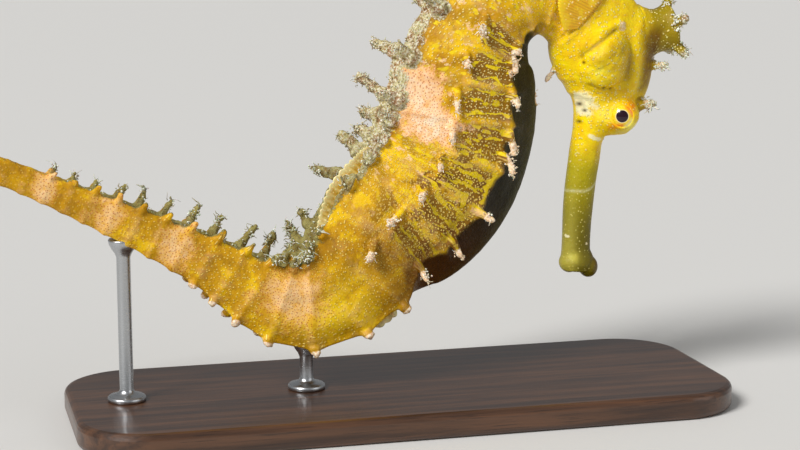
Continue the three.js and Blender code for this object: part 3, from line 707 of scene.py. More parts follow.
def body_places(points):
    """Where each point is on the body: distance, place q up to the keel's 7, arc in mm and rise in mm."""
    s = np.arange(0, END, 0.4)
    line = at(s)
    flat, centres = points[:, [0, 2]], line.centre[:, [0, 2]]
    where = np.zeros(len(points))
    at_once = 20000
    for start in range(0, len(points), at_once):
        part = slice(start, start + at_once)
        gap = np.linalg.norm(flat[part, None] - centres, axis=-1) / (line.deep + 0.8)
        where[part] = s[gap.argmin(1)]
    for _ in range(3):
        here = at(where)
        step = np.einsum("ij,ij->i", points - here.centre, here.way)
        where = np.clip(where + np.clip(step, -0.5, 0.5), 0, END)
    here = at(where)
    v = np.einsum("ij,ij->i", points - here.centre, here.back)
    w = np.abs(points[:, 1])
    turn = np.arctan2(w / here.wide, v / here.deep)
    corner = np.arctan2(here.form[..., 1], here.form[..., 0])
    corner[:, 0], corner[:, KEEL] = 0, math.pi
    k = np.clip((turn[:, None] >= corner).sum(1) - 1, 0, KEEL - 1)
    rows = np.arange(len(points))
    share = (turn - corner[rows, k]) / np.maximum(corner[rows, k + 1] - corner[rows, k], 1e-6)
    size = np.stack([here.deep, here.wide], -1)
    steps = np.linalg.norm(np.diff(here.form * size[:, None], axis=1), axis=-1)
    arc = np.concatenate([np.zeros((len(points), 1)), np.cumsum(steps, 1)], 1)
    on = on_section(here.form, np.clip(k + share, 0, KEEL - 0.001)) * size
    rise = np.hypot(v, w) - np.linalg.norm(on, axis=-1)
    return where, k + share, arc[rows, k] + share * steps[rows, k], rise


def line_gap(x, z, line):
    """Distance from places in the side view to a line of points, the share along it, and the signed side."""
    line = np.array(line)
    best, share, side = np.full(len(x), 1e9), np.zeros(len(x)), np.zeros(len(x))
    lengths = np.linalg.norm(np.diff(line, axis=0), axis=1)
    done = 0.0
    for a, d, long in zip(line, np.diff(line, axis=0) / lengths[:, None], lengths):
        t = np.clip((x - a[0]) * d[0] + (z - a[1]) * d[1], 0, long)
        gx, gz = x - a[0] - d[0] * t, z - a[1] - d[1] * t
        gap = np.hypot(gx, gz)
        closer = gap < best
        best = np.where(closer, gap, best)
        share = np.where(closer, (done + t) / lengths.sum(), share)
        side = np.where(closer, np.sign(d[0] * gz - d[1] * gx) * gap, side)
        done += long
    return best, share, side


def head_relief(points, normals):
    """How far each point of the head is raised, and the share of dark there: painted shade in the groove and
    along the gill floor, and the darkened pits.
    """
    x, y, z = points.T
    sideways = np.abs(normals[:, 1])
    facing = smoothstep(0.25, 0.8, sideways)
    turn = math.radians(DOME["tilt"])
    dx, dz = x - DOME["at"][0], z - DOME["at"][1]
    u = dx * math.cos(turn) + dz * math.sin(turn)
    v = dz * math.cos(turn) - dx * math.sin(turn)
    inside = np.clip(1 - (u / DOME["long"]) ** 2 - (v / DOME["high"]) ** 2, 0, 1)
    raised = (DOME["raised"] + 0.22 * noise(points, 0.75, 41, 2)) * inside**1.05

    gap, share, side = line_gap(x, z, GROOVE)
    ends = between(share, 0, 0.12, 0.85, 1)
    raised -= 0.3 * bell(gap, 0.36) * ends
    raised += 0.24 * bell(side + 1.5, 1.3) * ends * (gap < 4)
    # painted shade along the groove, then along the gill floor, and the pits darkened
    dark = 0.6 * bell(gap, 0.2) * ends
    gap = line_gap(x, z, GILL_FLOOR)[0]
    raised -= 0.22 * bell(gap, 0.3)
    dark = np.maximum(dark, 0.25 * bell(gap, 0.25)) * facing
    for line, high, width in RAISED_LINES:
        raised += high * bell(line_gap(x, z, line)[0], width)
    raised += (0.14 + 0.2 * noise(points, 0.6, 12, 2)) * bell(np.hypot(x - CHEEK[0], z - CHEEK[1]), 1.2)
    for px, pz, radius in PITS:
        hole = bell(np.hypot(x - px, z - pz), radius) * smoothstep(0.05, 0.3, sideways)
        raised -= 0.15 * hole
        dark = np.maximum(dark, hole)
    raised = (raised + 0.07 * noise(points, 1.1, 14, 3)) * facing
    # the front of the face dips over the snout
    raised -= 0.5 * bell(z - 31.4, 1.7) * smoothstep(0.2, 0.8, normals[:, 0])
    return raised, dark


def soft_faces(points, edges):
    """Smooths the skin round the eyes."""
    x, _, z = EYE["at"]
    gap = np.linalg.norm((points - [x, 0, z]) * [1, 0, 1], axis=1)
    soften = (smoothstep(4.2, 2.6, gap) * (np.abs(points[:, 1]) > 1.5))[:, None]
    for _ in range(14):
        points = points + 0.5 * soften * (averaged(points, edges) - points)
    return points


def eye_places():
    """For each eye, its name, side, centre and line of sight."""
    x, y, z = EYE["at"]
    for name, side in SIDES.items():
        yield name, np.array([x, y * side, z]), unit([GAZE[0], GAZE[1] * side, GAZE[2]]), side


def open_lids(points):
    """Draws the skin in behind each eyeball round the line of sight, which leaves a lid with an edge."""
    opening = LID["opening"]
    for _, centre, gaze, _ in eye_places():
        away = points - centre
        far = np.maximum(np.linalg.norm(away, axis=1), 1e-6)
        turn = np.arccos(np.clip(away @ gaze / far, -1, 1))
        reach = smoothstep(opening + 0.35, opening + 0.12, turn) * (far < LID["radius"] + 0.5)
        aim = lerp(LID["under"], LID["radius"], smoothstep(opening - 0.06, opening + 0.06, turn))
        points = centre + away * lerp(1, aim / far, reach)[:, None]
    return points


def spine_shares(points, lines):
    """At each point, the share of pale tip, of crust, the length of the threads and the share of painted
    shade on the eye spines.
    """
    tip, grown, fuzz, spine_shade = np.zeros((4, len(points)))
    for foot, end, radius, kind in lines:
        _, pale, thread, start, full, crust = KINDS[kind]
        way = end - foot
        long = np.linalg.norm(way)
        way = way / long
        near = np.abs(points - (foot + end) / 2).max(1) < long + 1.5
        p = points[near] - foot
        t = p @ way / long
        off = np.linalg.norm(p - (p @ way)[:, None] * way, axis=1)
        on = smoothstep(radius * 1.7, radius * 1.15, off)
        for total, share in (
            (tip, pale * smoothstep(0.2, 0.75, t)),
            (grown, crust * smoothstep(start, full, t)),
            (fuzz, thread * smoothstep(0.1, 0.8, t)),
            # the eye spines' foot and middle painted dark brown: painted shade
            (spine_shade, 0.7 * (kind == "eye") * between(t, -0.3, 0.2, 0.4, 0.7)),
        ):
            total[near] = np.maximum(total[near], share * on)
    return tip, grown, fuzz, spine_shade


def build_skin():
    """The skin's points and quads, and what each point is."""
    spines = body_spines()
    shapes, lines = head_shapes()
    points, quads = melted(*joined([body_tube(), *shapes, *(shape for shape, _ in spines)]))
    edges = edges_of(quads)
    points = open_lids(soft_faces(smoothed(points, edges, 3), edges))
    normals = normals_of(points, quads)
    s, q, arc, rise = body_places(points)
    head = smoothstep(NECK_AT + 2.5, NECK_AT - 1, s)
    raised, dark = head_relief(points, normals)
    tip, grown, fuzz, spine_shade = spine_shares(points, [line for _, line in spines] + lines)
    return SimpleNamespace(
        points=points,
        quads=quads,
        edges=edges,
        normals=normals,
        s=s,
        q=q,
        arc=arc,
        rise=rise,
        head=head,
        raised=raised * head,
        dark=dark * head,
        tip=tip,
        grown=grown,
        fuzz=fuzz,
        spine_shade=spine_shade,
    )


# ---------- materials ----------


def paint(red, green, blue):
    """A colour given as on a screen, 0 to 255, as the renderer's linear values."""
    shares = (c / 255 for c in (red, green, blue))
    return (*(c / 12.92 if c <= 0.04045 else ((c + 0.055) / 1.055) ** 2.4 for c in shares), 1)


class Value:
    """A number, colour or vector that a finish works out, with short ways to add to it."""

    def __init__(self, finish, socket):
        self.finish, self.socket = finish, socket

    def math(self, operation, other=0.0, clamp=False):
        return self.finish.node("Math", {0: self, 1: other}, operation=operation, use_clamp=clamp)

    def __add__(self, other):
        return self.math("ADD", other)

    def __sub__(self, other):
        return self.math("SUBTRACT", other)

    def __mul__(self, other):
        return self.math("MULTIPLY", other)

    def most(self, other):
        return self.math("MAXIMUM", other)

    def less(self, share=None):
        """One minus it, or minus a share of it."""
        inputs = {0: 1.0, 1: self * share if share else self}
        return self.finish.node("Math", inputs, operation="SUBTRACT", use_clamp=True)

    def step(self, lo, hi, to_lo=0.0, to_hi=1.0):
        """Goes smoothly from one number to the other between lo and hi."""
        inputs = {"Value": self, "From Min": lo, "From Max": hi, "To Min": to_lo, "To Max": to_hi}
        return self.finish.node("MapRange", inputs, interpolation_type="SMOOTHSTEP")

    def under(self, *layers):
        """This colour under others, each given as its share and its colour."""
        colour = self
        for share, over in layers:
            colour = self.finish.mix(share, colour, over)
        return colour


class Finish:
    """A procedural material. Its colours are given as on a screen, 0 to 255."""

    def __init__(self, name):
        self.material = bpy.data.materials.new(name)
        self.material.use_nodes = True
        self.tree = self.material.node_tree
        self.tree.nodes.clear()
        self.shader = self.tree.nodes.new("ShaderNodeBsdfPrincipled")
        output = self.tree.nodes.new("ShaderNodeOutputMaterial")
        self.tree.links.new(self.shader.outputs[0], output.inputs[0])

    def put(self, socket, value):
        if isinstance(value, Value):
            self.tree.links.new(value.socket, socket)
        else:
            socket.default_value = value

    def node(self, kind, inputs=(), output=0, **settings):
        made = self.tree.nodes.new("ShaderNode" + kind)
        for name, value in settings.items():
            setattr(made, name, value)
        for name, value in dict(inputs).items():
            self.put(made.inputs[name], value)
        return Value(self, made.outputs[output])

    def attribute(self, name, output="Fac"):
        return self.node("Attribute", output=output, attribute_type="GEOMETRY", attribute_name=name)

    def vector(self, operation, a, b=(0, 0, 0)):
        output = 1 if operation == "DOT_PRODUCT" else 0
        return self.node("VectorMath", {0: a, 1: b}, output, operation=operation)

    def place(self):
        return self.node("TexCoord", output="Object")

    def mm(self):
        return self.node("VectorMath", {0: self.place(), "Scale": 1 / MM}, operation="SCALE")

    def mix(self, share, a, b):
        a, b = (paint(*colour) if isinstance(colour, tuple) else colour for colour in (a, b))
        return self.node("Mix", {0: share, 6: a, 7: b}, 2, data_type="RGBA")

    def noise(self, vector, scale, detail=2.0, rough=0.5, stretch=None, twist=0.0):
        if stretch:
            vector = self.vector("MULTIPLY", vector, stretch)
        inputs = {"Vector": vector, "Scale": scale, "Detail": detail, "Roughness": rough, "Distortion": twist}
        return self.node("TexNoise", inputs)

    def cells(self, vector, scale, spread, flat=False):
        inputs = {"Vector": vector, "Scale": scale, "Randomness": spread}
        return self.node("TexVoronoi", inputs, "Distance", voronoi_dimensions="2D" if flat else "3D")

    def dots(self, vector, spacing, radius, spread, flat=False):
        """Round dots, one every spacing mm or so; flat ones read only the vector's X and Y."""
        gap = self.cells(vector, 1 / spacing, spread, flat)
        soft = 0.03
        return gap.step((radius + soft) / spacing, max(radius - soft, 0.01) / spacing)

    def bump(self, height, far, strength):
        inputs = {"Height": height, "Distance": far * MM, "Strength": strength}
        self.put(self.shader.inputs["Normal"], self.node("Bump", inputs))

    def set(self, **values):
        for name, value in values.items():
            self.put(self.shader.inputs[name.replace("_", " ")], value)
        return self.material


def ground_colour(f, m):
    """Gold on the body, yellow on the head, olive on the snout and the crown, orange spots by the eyes, and
    painted highlights.
    """
    mottled = f.noise(m.mm, 0.4, 4, 0.6)
    gold = f.mix(m.broad.step(0.35, 0.65), (196, 142, 0), (232, 186, 4)).under(
        (m.lower * 0.8, (198, 144, 0)),
        (m.middle.step(0.5, 0.75) * 0.55, (150, 96, 0)),
        (mottled.step(0.5, 0.58) * m.loin.step(0.0, 1.0, 0.3, 0.95), (104, 62, 0)),
        (mottled.step(0.46, 0.36) * m.loin.step(0.0, 1.0, 0.6, 0.95), (252, 208, 4)),
        (m.along.step(NAPE[1], NAPE[0], 0.0, 0.7), (252, 202, 4)),
    )
    yellow = f.mix(m.middle.step(0.35, 0.7), (255, 222, 2), (244, 196, 2))
    yellow = yellow.under((m.dotty * 0.5, (212, 168, 0)))
    olive = f.mix(m.snout.step(0.2, 1.0), (178, 162, 2), (108, 96, 2))
    speck = f.dots(m.mm, 0.42, 0.09, 0.95) * m.middle.step(0.42, 0.58) * m.snout.step(0.05, 0.3) * 0.75
    return gold.under(
        (m.head, yellow),
        (m.snout.step(0.0, 0.3), olive),
        (speck, (226, 212, 120)),
        (m.crown * 0.85, f.mix(m.middle, (88, 70, 0), (152, 132, 2))),
        # painted highlights: the gill cover's wet shine, and a glow low on the flank
        (m.bright * m.middle.step(0.3, 0.55, 0.3, 1.0), (255, 222, 12)),
        (m.bright * m.head * f.noise(m.mm, 1.3, 2, 0.5).step(0.5, 0.62), (255, 234, 70)),
        (m.warm * m.middle.step(0.3, 0.6, 0.6, 1.0) * 0.9, (240, 128, 0)),
        # painted highlights on the eye turrets, the snout's left edge and the lips
        (m.light, (255, 240, 104)),
        (m.fine.step(0.55, 0.72) * m.head.less() * 0.35, (150, 92, 0)),
    )


def patched(f, m, colour):
    """Brown patches, each crossed by about three bright yellow lines that wind and break."""
    m.ragged = m.brown + (m.middle - 0.5) * 0.9
    m.in_patch = m.ragged.step(0.1, 0.4)
    sway = f.noise(m.line, 1.0, 2, 0.55, (0.7, 0.5, 0.2))
    wave = m.along * 0.74 + (sway - 0.5) * 1.7
    broken = f.noise(m.line, 1.0, 1, 0.5, (1.3, 0.42, 0.2)).step(0.42, 0.48)
    winding = wave.math("PINGPONG", 0.5).step(0.165, 0.09) * broken * m.in_patch * m.loin.less(0.2)
    blotch = f.noise(m.line, 1.1, 0, 0.5, (1.5, 0.7, 0.2)) + m.loin * 0.09
    blotch = blotch.step(0.66, 0.71) * m.head.less() * m.lower.less() * m.saddle.less()
    m.lines = winding.most(blotch * 0.85)
    # the crests between the patches are faintly pink, and the upper flank has small pale flecks
    flush = m.crest * m.middle.step(0.42, 0.62) * m.head.less() * 0.35
    fleck = f.noise(m.line, 0.9, 2, 0.55, (1.1, 0.8, 0.4)).step(0.61, 0.67)
    fleck = fleck * m.head.less() * m.belly.less() * m.lower.less() * m.ragged.less(1.5)
    return colour.under(
        (m.ragged.step(0.3, 0.6) * 0.85, f.mix(m.broad, (112, 72, 0), (150, 100, 0))),
        (m.lines * m.belly.less(), f.mix(m.middle, (250, 224, 4), (226, 190, 2))),
        (flush, (232, 184, 122)),
        (fleck * m.fine.step(0.3, 0.6, 0.4, 0.9), (244, 202, 158)),
    )


def saddled(f, m, colour):
    """Pale saddles with fine dark red dots."""
    torn = m.saddle + (m.middle - 0.5) * 1.3 + (m.fine - 0.5) * 0.5
    m.pale = f.mix(m.lower, torn.step(0.34, 0.66), torn.step(0.2, 0.95))
    white = (torn * 0.45 + f.mix(0.5, m.middle, m.fine) * 0.9).step(0.62, 1.12)
    white = white * m.lower.less(0.6) * m.along.step(*FLUSHED, 0.6, 1.0)
    flushed = f.mix(m.lower, (244, 184, 122), (238, 178, 74))
    red = f.dots(m.line, 0.37, 0.065, 0.85, flat=True) * torn.step(0.2, 0.5) * 0.75
    return colour.under((m.pale * 0.9, flushed.under((white, (255, 234, 204)))), (red, (172, 70, 20)))


def dotted(f, m, colour):
    """Cream dots, in rows in the brown patches and loose elsewhere."""
    rows = f.dots(m.line, 0.52, 0.1, 0.4, flat=True) * m.in_patch
    ringed = f.dots(m.line, 0.52, 0.19, 0.4, flat=True) * m.in_patch * m.belly.less() * m.lines.less()
    strewn = f.noise(m.mm, 0.45, 2, 0.5) + m.dotty * 0.4
    strewn = strewn + m.along.step(NAPE[1] + 6, NAPE[0], 0.0, 0.2) - m.head * 0.26
    strewn = strewn.step(0.34, 0.46) * m.along.step(92.0, 118.0, 1.0, 0.3)
    loose = f.dots(m.line, 0.5, 0.085, 0.9, flat=True) * strewn * m.head.less() * m.loin.less()
    loose = loose.most(f.dots(m.line, 0.42, 0.095, 0.95, flat=True) * m.fine.step(0.3, 0.42) * m.loin)
    loose = loose.most(f.dots(m.mm, 0.42, 0.115, 0.95) * strewn * m.head)
    loose = loose.most(f.dots(m.mm, 0.37, 0.085, 0.85) * (m.dotty + m.middle * 0.6).step(0.6, 0.9))
    m.cream = rows.most(loose) * m.pale.less() * m.snout.step(0.3, 0.05) * m.dark.less()
    m.cream = m.cream * m.lines.less(0.9)
    dot = f.mix(m.loin.most(m.lower), (252, 224, 140), (255, 222, 116)).under((m.head, (255, 238, 150)))
    return colour.under((ringed * 0.35, (84, 50, 0)), (m.cream * m.fine.step(0.25, 0.5, 0.55, 0.9), dot))


def shaded(f, m, colour):
    """The belly between the lower ridges painted dark as painted shade, with a painted olive sheen along the
    keel, and the brown painted shade.
    """
    # painted shade: the belly is painted near black, with a painted olive sheen along the keel
    under = f.mix(m.broad.step(0.3, 0.7), (20, 16, 1), (38, 33, 3)).under((m.keel * 0.5, (84, 80, 26)))
    shade = m.shade * m.middle.step(0.2, 0.6, 0.75, 1.0)
    return colour.under((m.belly, under), (shade, (92, 50, 0)))


def crusted(f, m, colour):
    """Pale rough tips, the back's crust of algae, the frosted marks of the head, and painted shade in the
    groove and along the gill floor, with darkened pits.
    """
    pink = f.mix(m.fine.step(0.35, 0.65), (220, 178, 134), (252, 236, 212))
    green = f.mix(m.middle.step(0.3, 0.7), (96, 90, 16), (150, 142, 70))
    crust = f.mix(m.middle.step(0.38, 0.6), (158, 116, 84), (206, 198, 146)).under(
        (m.fine.step(0.46, 0.62), (240, 236, 210)),
        (m.fine.step(0.46, 0.34) * 0.6, (104, 92, 48)),
        (f.cells(m.mm, 2.4, 1.0).step(0.36, 0.14) * 0.6, (84, 68, 34)),
        (m.lower * m.fine.step(0.3, 0.6, 0.5, 0.9), green),
    )
    edge = (f.mix(0.5, m.middle, m.fine) - 0.5) * 1.6
    m.covered = (m.back.most(m.alga) + edge).step(0.34, 0.62)
    frosted = (m.cheek + (m.fine - 0.5) * 1.4).step(0.15, 0.95) * 0.95
    return colour.under(
        ((m.tip + (m.fine - 0.5) * 0.8).step(0.2, 0.7) * 0.92, pink),
        (m.covered * 0.92, crust),
        (frosted, f.mix(m.middle, (255, 248, 214), (252, 236, 160))),
        (m.band * m.fine.step(0.35, 0.6, 0.4, 0.95), (214, 208, 150)),
        # painted shade in the groove and along the gill floor, and the pits darkened
        (m.dark * 0.95, (66, 34, 0)),
    )


def skin_finish(masks):
    """The gold skin with its dots, lines, pale saddles, belly painted dark as painted shade, and crusted
    back.
    """
    f = Finish("skin")
    m = SimpleNamespace(**{name: f.attribute(name) for name in masks})
    m.mm = f.mm()
    m.line = f.attribute("line", "Vector")
    m.along = f.node("SeparateXYZ", {0: m.line})
    m.broad = f.noise(m.mm, 0.22, 3, 0.55)
    m.middle = f.noise(m.mm, 0.9, 4, 0.62)
    m.fine = f.noise(m.mm, 3.4, 4, 0.65)
    colour = ground_colour(f, m)
    for layer in (patched, saddled, dotted, shaded, crusted):
        colour = layer(f, m, colour)
    grit = f.noise(m.mm, 9.0, 2, 0.6)
    height = m.middle * 0.5 + m.fine * 0.5 + m.cream * 0.45 + grit * m.covered * 0.8
    f.bump(height, 0.17, 1.0)
    rough = m.fine.step(0.2, 0.8, 0.36, 0.54) - m.head * 0.1
    return f.set(
        Base_Color=colour,
        Roughness=rough.math("ADD", m.covered * 0.25, clamp=True),
        Specular_IOR_Level=0.24,
        Subsurface_Weight=0.1,
        Subsurface_Radius=(1.0, 0.5, 0.1),
        Subsurface_Scale=0.0006,
    )


def fin_finish(name, thin, ray, edge):
    """A thin sheet with another colour on its rays and a third along its edge and in blotches."""
    f = Finish(name)
    mm = f.mm()
    colour = f.mix(f.attribute("ray"), thin, ray).under(
        (f.noise(mm, 0.9, 4, 0.62).step(0.45, 0.65) * 0.6, edge),
        (f.dots(mm, 0.42, 0.1, 0.95) * 0.7, (255, 236, 170)),
        (f.attribute("rim").step(0.6, 0.95), edge),
    )
    f.bump(f.noise(mm, 2.4, 3, 0.6), 0.08, 0.6)
    return f.set(Base_Color=colour, Roughness=0.42, Subsurface_Weight=0.15, Subsurface_Scale=0.0005)


def eye_finish(name, centre, gaze, right, up):
    """Bright iris round a dark pupil, orange above right and below, and a painted pale highlight below right.
    """
    f = Finish(name)
    out = f.vector("NORMALIZE", f.vector("SUBTRACT", f.place(), tuple(centre * MM)))
    ahead, across, high = (f.vector("DOT_PRODUCT", out, tuple(way)) for way in (gaze, right, up))
    grain = f.noise(out, 9.0, 3, 0.6)
    above = (across * 0.8 + high * 0.6).step(0.32, 0.62)
    below = high.step(-0.32, -0.6) * (across + 0.12).math("ABSOLUTE").step(0.34, 0.12)
    colour = f.mix(grain.step(0.35, 0.65), (240, 196, 14), (252, 226, 50)).under(
        (above.most(below) * grain.step(0.2, 0.5, 0.6, 0.95), (238, 128, 14)),
        # a painted pale highlight on the lower right of the eye
        ((across * 0.72 - high * 0.7).step(0.42, 0.66) * 0.85, (252, 240, 170)),
        (ahead.step(*np.cos(PALE_RING)) * 0.75, (252, 238, 190)),
        (ahead.step(*np.cos(PUPIL)), (34, 6, 20)),
    )
    return f.set(
        Base_Color=colour,
        Roughness=0.22,
        Specular_IOR_Level=0.2,
        Coat_Weight=1.0,
        Coat_Roughness=0.04,
        Coat_IOR=1.4,
    )


def wood_finish():
    f = Finish("base_wood")
    mm = f.mm()
    grain = f.noise(mm, 0.8, 6, 0.6, (0.05, 1.0, 1.0), 0.4)
    pore = f.noise(mm, 1.2, 3, 0.6, (0.12, 4.0, 4.0))
    colour = f.mix(grain.step(0.3, 0.7), (52, 32, 20), (92, 60, 38))
    colour = colour.under((pore.step(0.56, 0.66) * 0.6, (34, 20, 12)))
    f.bump(pore, 0.05, 0.4)
    return f.set(Base_Color=colour, Roughness=0.38, Coat_Weight=0.3, Coat_Roughness=0.15)


def steel_finish():
    f = Finish("rod_steel")
    brushed = f.noise(f.mm(), 1.0, 2, 0.5, (1.0, 1.0, 12.0))
    rough = brushed.step(0.3, 0.7, 0.26, 0.36)
    return f.set(Base_Color=paint(188, 190, 192), Metallic=1.0, Roughness=rough)


def algae_finish():
    """Salt-and-pepper threads: grey-green on the tail, cream on the clean spines."""
    f = Finish("algae")
    mm = f.mm()
    tail, clean, tint, frost = (f.attribute(name) for name in ("tail", "clean", "tint", "frost"))
    speck = f.noise(mm, 4.0, 3, 0.65)
    grey = f.mix(tint.step(0.1, 0.4), (150, 136, 98), (224, 216, 184))
    green = f.mix(tint.step(0.1, 0.5), (138, 134, 84), (228, 230, 212))
    colour = grey.under(
        (tail * 0.8, green),
        (clean, f.mix(tint, (228, 196, 156), (254, 244, 226))),
        (tint.step(0.84, 0.9), (244, 240, 226)),
        (frost * 0.8, f.mix(tint, (206, 208, 186), (250, 248, 236))),
        (speck.step(0.5, 0.65) * clean.less() * frost.less(0.7) * 0.4, (84, 72, 38)),
    )
    f.bump(speck, 0.04, 0.6)
    return f.set(Base_Color=colour, Roughness=0.6, Subsurface_Weight=0.15, Subsurface_Scale=0.0004)


# ---------- the skin ----------


def body_masks(skin, trunk):
    """The share of each marking of the trunk and tail at each point, and their part of the shade. The belly
    and keel masks carry the belly's painted shade and the keel's painted sheen.
    """
    points, s, q = skin.points, skin.s, skin.q
    _, f = ring_phase(s)
    clean = 1 - skin.tip
    on_body = smoothstep(1.6, 0.6, skin.rise)
    back = smoothstep(1.35, 0.75, q + 0.25 * noise(points, 1.6, 5, 2)) * trunk
    back *= lerp(1.0, 0.85, smoothstep(TAIL_AT, TAIL_AT + 10, s)) * smoothstep(END - 20, END - 50, s)
    # the belly below the lower ridges is painted dark: painted shade
    edge = q + 0.12 * np.sin(np.pi * f) ** 2 + 0.12 * noise(points, 1.2, 21, 2)
    belly = smoothstep(5.0, 5.25, edge) * between(s, NECK_AT + 5, NECK_AT + 11, TAIL_AT - 2, TAIL_AT + 6)
    brown = np.sin(np.pi * f) ** 0.75 * between(q, 2.75, 3.3, 4.95, 5.15) * on_body
    brown *= between(s, NECK_AT + 11, NECK_AT + 15, TAIL_AT - 6, TAIL_AT + 3)
    loin = between(s, NECK_AT + 24, NECK_AT + 32, TAIL_AT - 5, TAIL_AT + 5) * smoothstep(1.2, 3.2, q)
    wander = 1.3 * noise(points, 2.4, 51, 2)
    saddles = [
        bell(s - along + wander, long) * bell(q - place + wander / 2, wide)
        for along, place, long, wide in SADDLES
    ]
    low = smoothstep(4.0, 4.9, q + 0.5 * noise(points, 1.5, 43, 2))
    low *= between(s, NECK_AT + 30, TAIL_AT, TAIL_AT, TAIL_AT + 9)
    umber = spots(FLANK_SPOTS["umber"], s, q) * smoothstep(5.2, 4.9, q)
    return {
        "saddle": SADDLE_STRENGTH * np.max(saddles, axis=0),
        "belly": belly * clean,
        "back": back,
        "brown": brown,
        "loin": loin,
        "crest": bell(np.minimum(f, 1 - f) * 4, 0.9) * on_body * between(q, 1.2, 2.0, 4.8, 5.2) * trunk,
        "lower": lower_share(s),
        # keel: where the belly's painted olive sheen lies
        "keel": smoothstep(6.1, 6.9, q),
        "shade": np.maximum(0.85 * low, umber) * clean,
    }


def lower_share(s):
    """Rises from the trunk to the tail."""
    return smoothstep(TAIL_AT - 12, TAIL_AT + 4, s)


def head_masks(skin):
    """The share of each marking of the head at each point, with its painted highlights, and their part of the
    shade.
    """
    points = skin.points
    x, y, z = points.T
    snout = smoothstep(*OLIVE, skin.s)
    sideways, beside = np.abs(skin.normals[:, 1]), np.abs(y) > 2.0

    gap = np.hypot(x - CHEEK[0], z - CHEEK[1] + 0.3) + 0.6 * noise(points, 0.8, 23, 2)
    cheek = smoothstep(2.0, 0.8, gap) * skin.head * smoothstep(0.05, 0.3, sideways)
    frayed = 0.25 * noise(points, 0.5, 25, 2)
    mark = smoothstep(0.4, 0.2, line_gap(x, z, NOSE_MARK)[0] + frayed) * smoothstep(0.3, 0.7, sideways)
    cheek = np.maximum(cheek, 0.95 * mark)
    for px, pz, radius in SNOUT_MARKS:
        mark = smoothstep(radius, radius * 0.5, np.hypot(x - px, (z - pz) * 1.6) + frayed)
        cheek = np.maximum(cheek, 0.8 * mark * (np.abs(y) > 0.3))

    # painted shade: brown beside the face ridge, in the hollow between the gill cover and the ridge, on the
    # fold under the groove, and on the snout's far side
    side = line_gap(x, z, FACE_RIDGE)[2]
    brow = between(side, 0.2, 1.9, 2.6, 3.6) * between(z, 36.0, 38.0, 43.5, 46.0)
    gap, share, side = line_gap(x, z, GROOVE)
    fold = 0.4 * bell(side + 1.7, 1.1) * (gap < 3.5) * between(share, 0, 0.2, 0.8, 1)
    shade = np.maximum.reduce([0.8 * brow, spots(HEAD_SPOTS["hollow"], x, z), fold]) * skin.head
    shade = np.maximum(shade, 0.5 * smoothstep(23.0, 24.6, x) * snout)

    # light is painted highlight: on the eye turrets, along the snout's left edge and on the lips
    light = np.maximum(spots(HEAD_SPOTS["light"], x, z) * beside, 0.3 * smoothstep(22.2, 20.6, x) * snout)
    lip = np.hypot(x - 21.0, z - 17.4) + 0.4 * noise(points, 0.7, 27, 2)
    # bright is painted highlight: the gill cover's wet shine, and a glow low on the flank
    bright = spots(HEAD_SPOTS["bright"], x, z) * skin.head
    crown_foot = smoothstep(28.5, 30.0, x) * between(z, 39.0, 40.0, 42.5, 44.0)
    band = z - SNOUT_BAND["z"] - SNOUT_BAND["rise"] * np.maximum(x - SNOUT_BAND["from"], 0) ** 2
    return {
        "head": skin.head,
        "snout": snout,
        "cheek": cheek,
        "dark": skin.dark,
        "warm": spots(HEAD_SPOTS["warm"], x, z) * beside,
        "light": np.maximum(light, 0.5 * bell(lip, 0.9)),
        "bright": np.maximum(bright, spots(FLANK_SPOTS["bright"], skin.s, skin.q)),
        "dotty": np.minimum(spots(HEAD_SPOTS["dotty"], x, z) + crown_foot, 1),
        "band": bell(band, SNOUT_BAND["half"]) * (np.abs(x - 23) < 3),
        "crown": smoothstep(29.3, 31.0, x) * smoothstep(40.0, 41.5, z),
        "shade": np.maximum(shade, skin.spine_shade),
    }


def make_skin():
    skin = build_skin()
    trunk = smoothstep(NECK_AT, NECK_AT + 6, skin.s)
    body, head = body_masks(skin, trunk), head_masks(skin)
    masks = {**body, **head, "shade": np.maximum(body["shade"], head["shade"])}
    masks.update(tip=skin.tip * (1 - skin.grown), alga=skin.grown)
    line = np.stack([skin.s, skin.arc, skin.points[:, 1]], -1)
    crust = np.maximum(body["back"], skin.grown)
    shift = skin.raised
    for share, size, seed, octaves in (
        (0.22 * crust, 0.9, 3, 3),
        (0.17 * crust, 0.42, 31, 2),
        (0.06 * trunk, 1.6, 9, 2),
        (0.2 * skin.tip, 0.5, 17, 2),
    ):
        shift = shift + share * noise(skin.points, size, seed, octaves)
    skin.points = smoothed(skin.points + skin.normals * shift[:, None], skin.edges, 1)
    skin.back = body["back"]
    obj = mesh_object("skin", skin.points, skin.quads)
    add_attribute(obj.data, "line", line, "FLOAT_VECTOR", "vector")
    for name, values in masks.items():
        add_attribute(obj.data, name, values)
    finished(obj, skin_finish(masks), SKIN_NODES)
    return skin


# ---------- the other pieces ----------


def add_attribute(mesh, name, values, kind="FLOAT", field="value"):
    values = np.asarray(values, np.float32).ravel()
    mesh.attributes.new(name, kind, "POINT").data.foreach_set(field, values)


def finished(obj, material, nodes=()):
    """Gives a piece its finish and its place in the part."""
    obj.data.materials.clear()
    obj.data.materials.append(material)
    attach(obj, "root")
    if nodes:
        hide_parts(*nodes)
    return obj


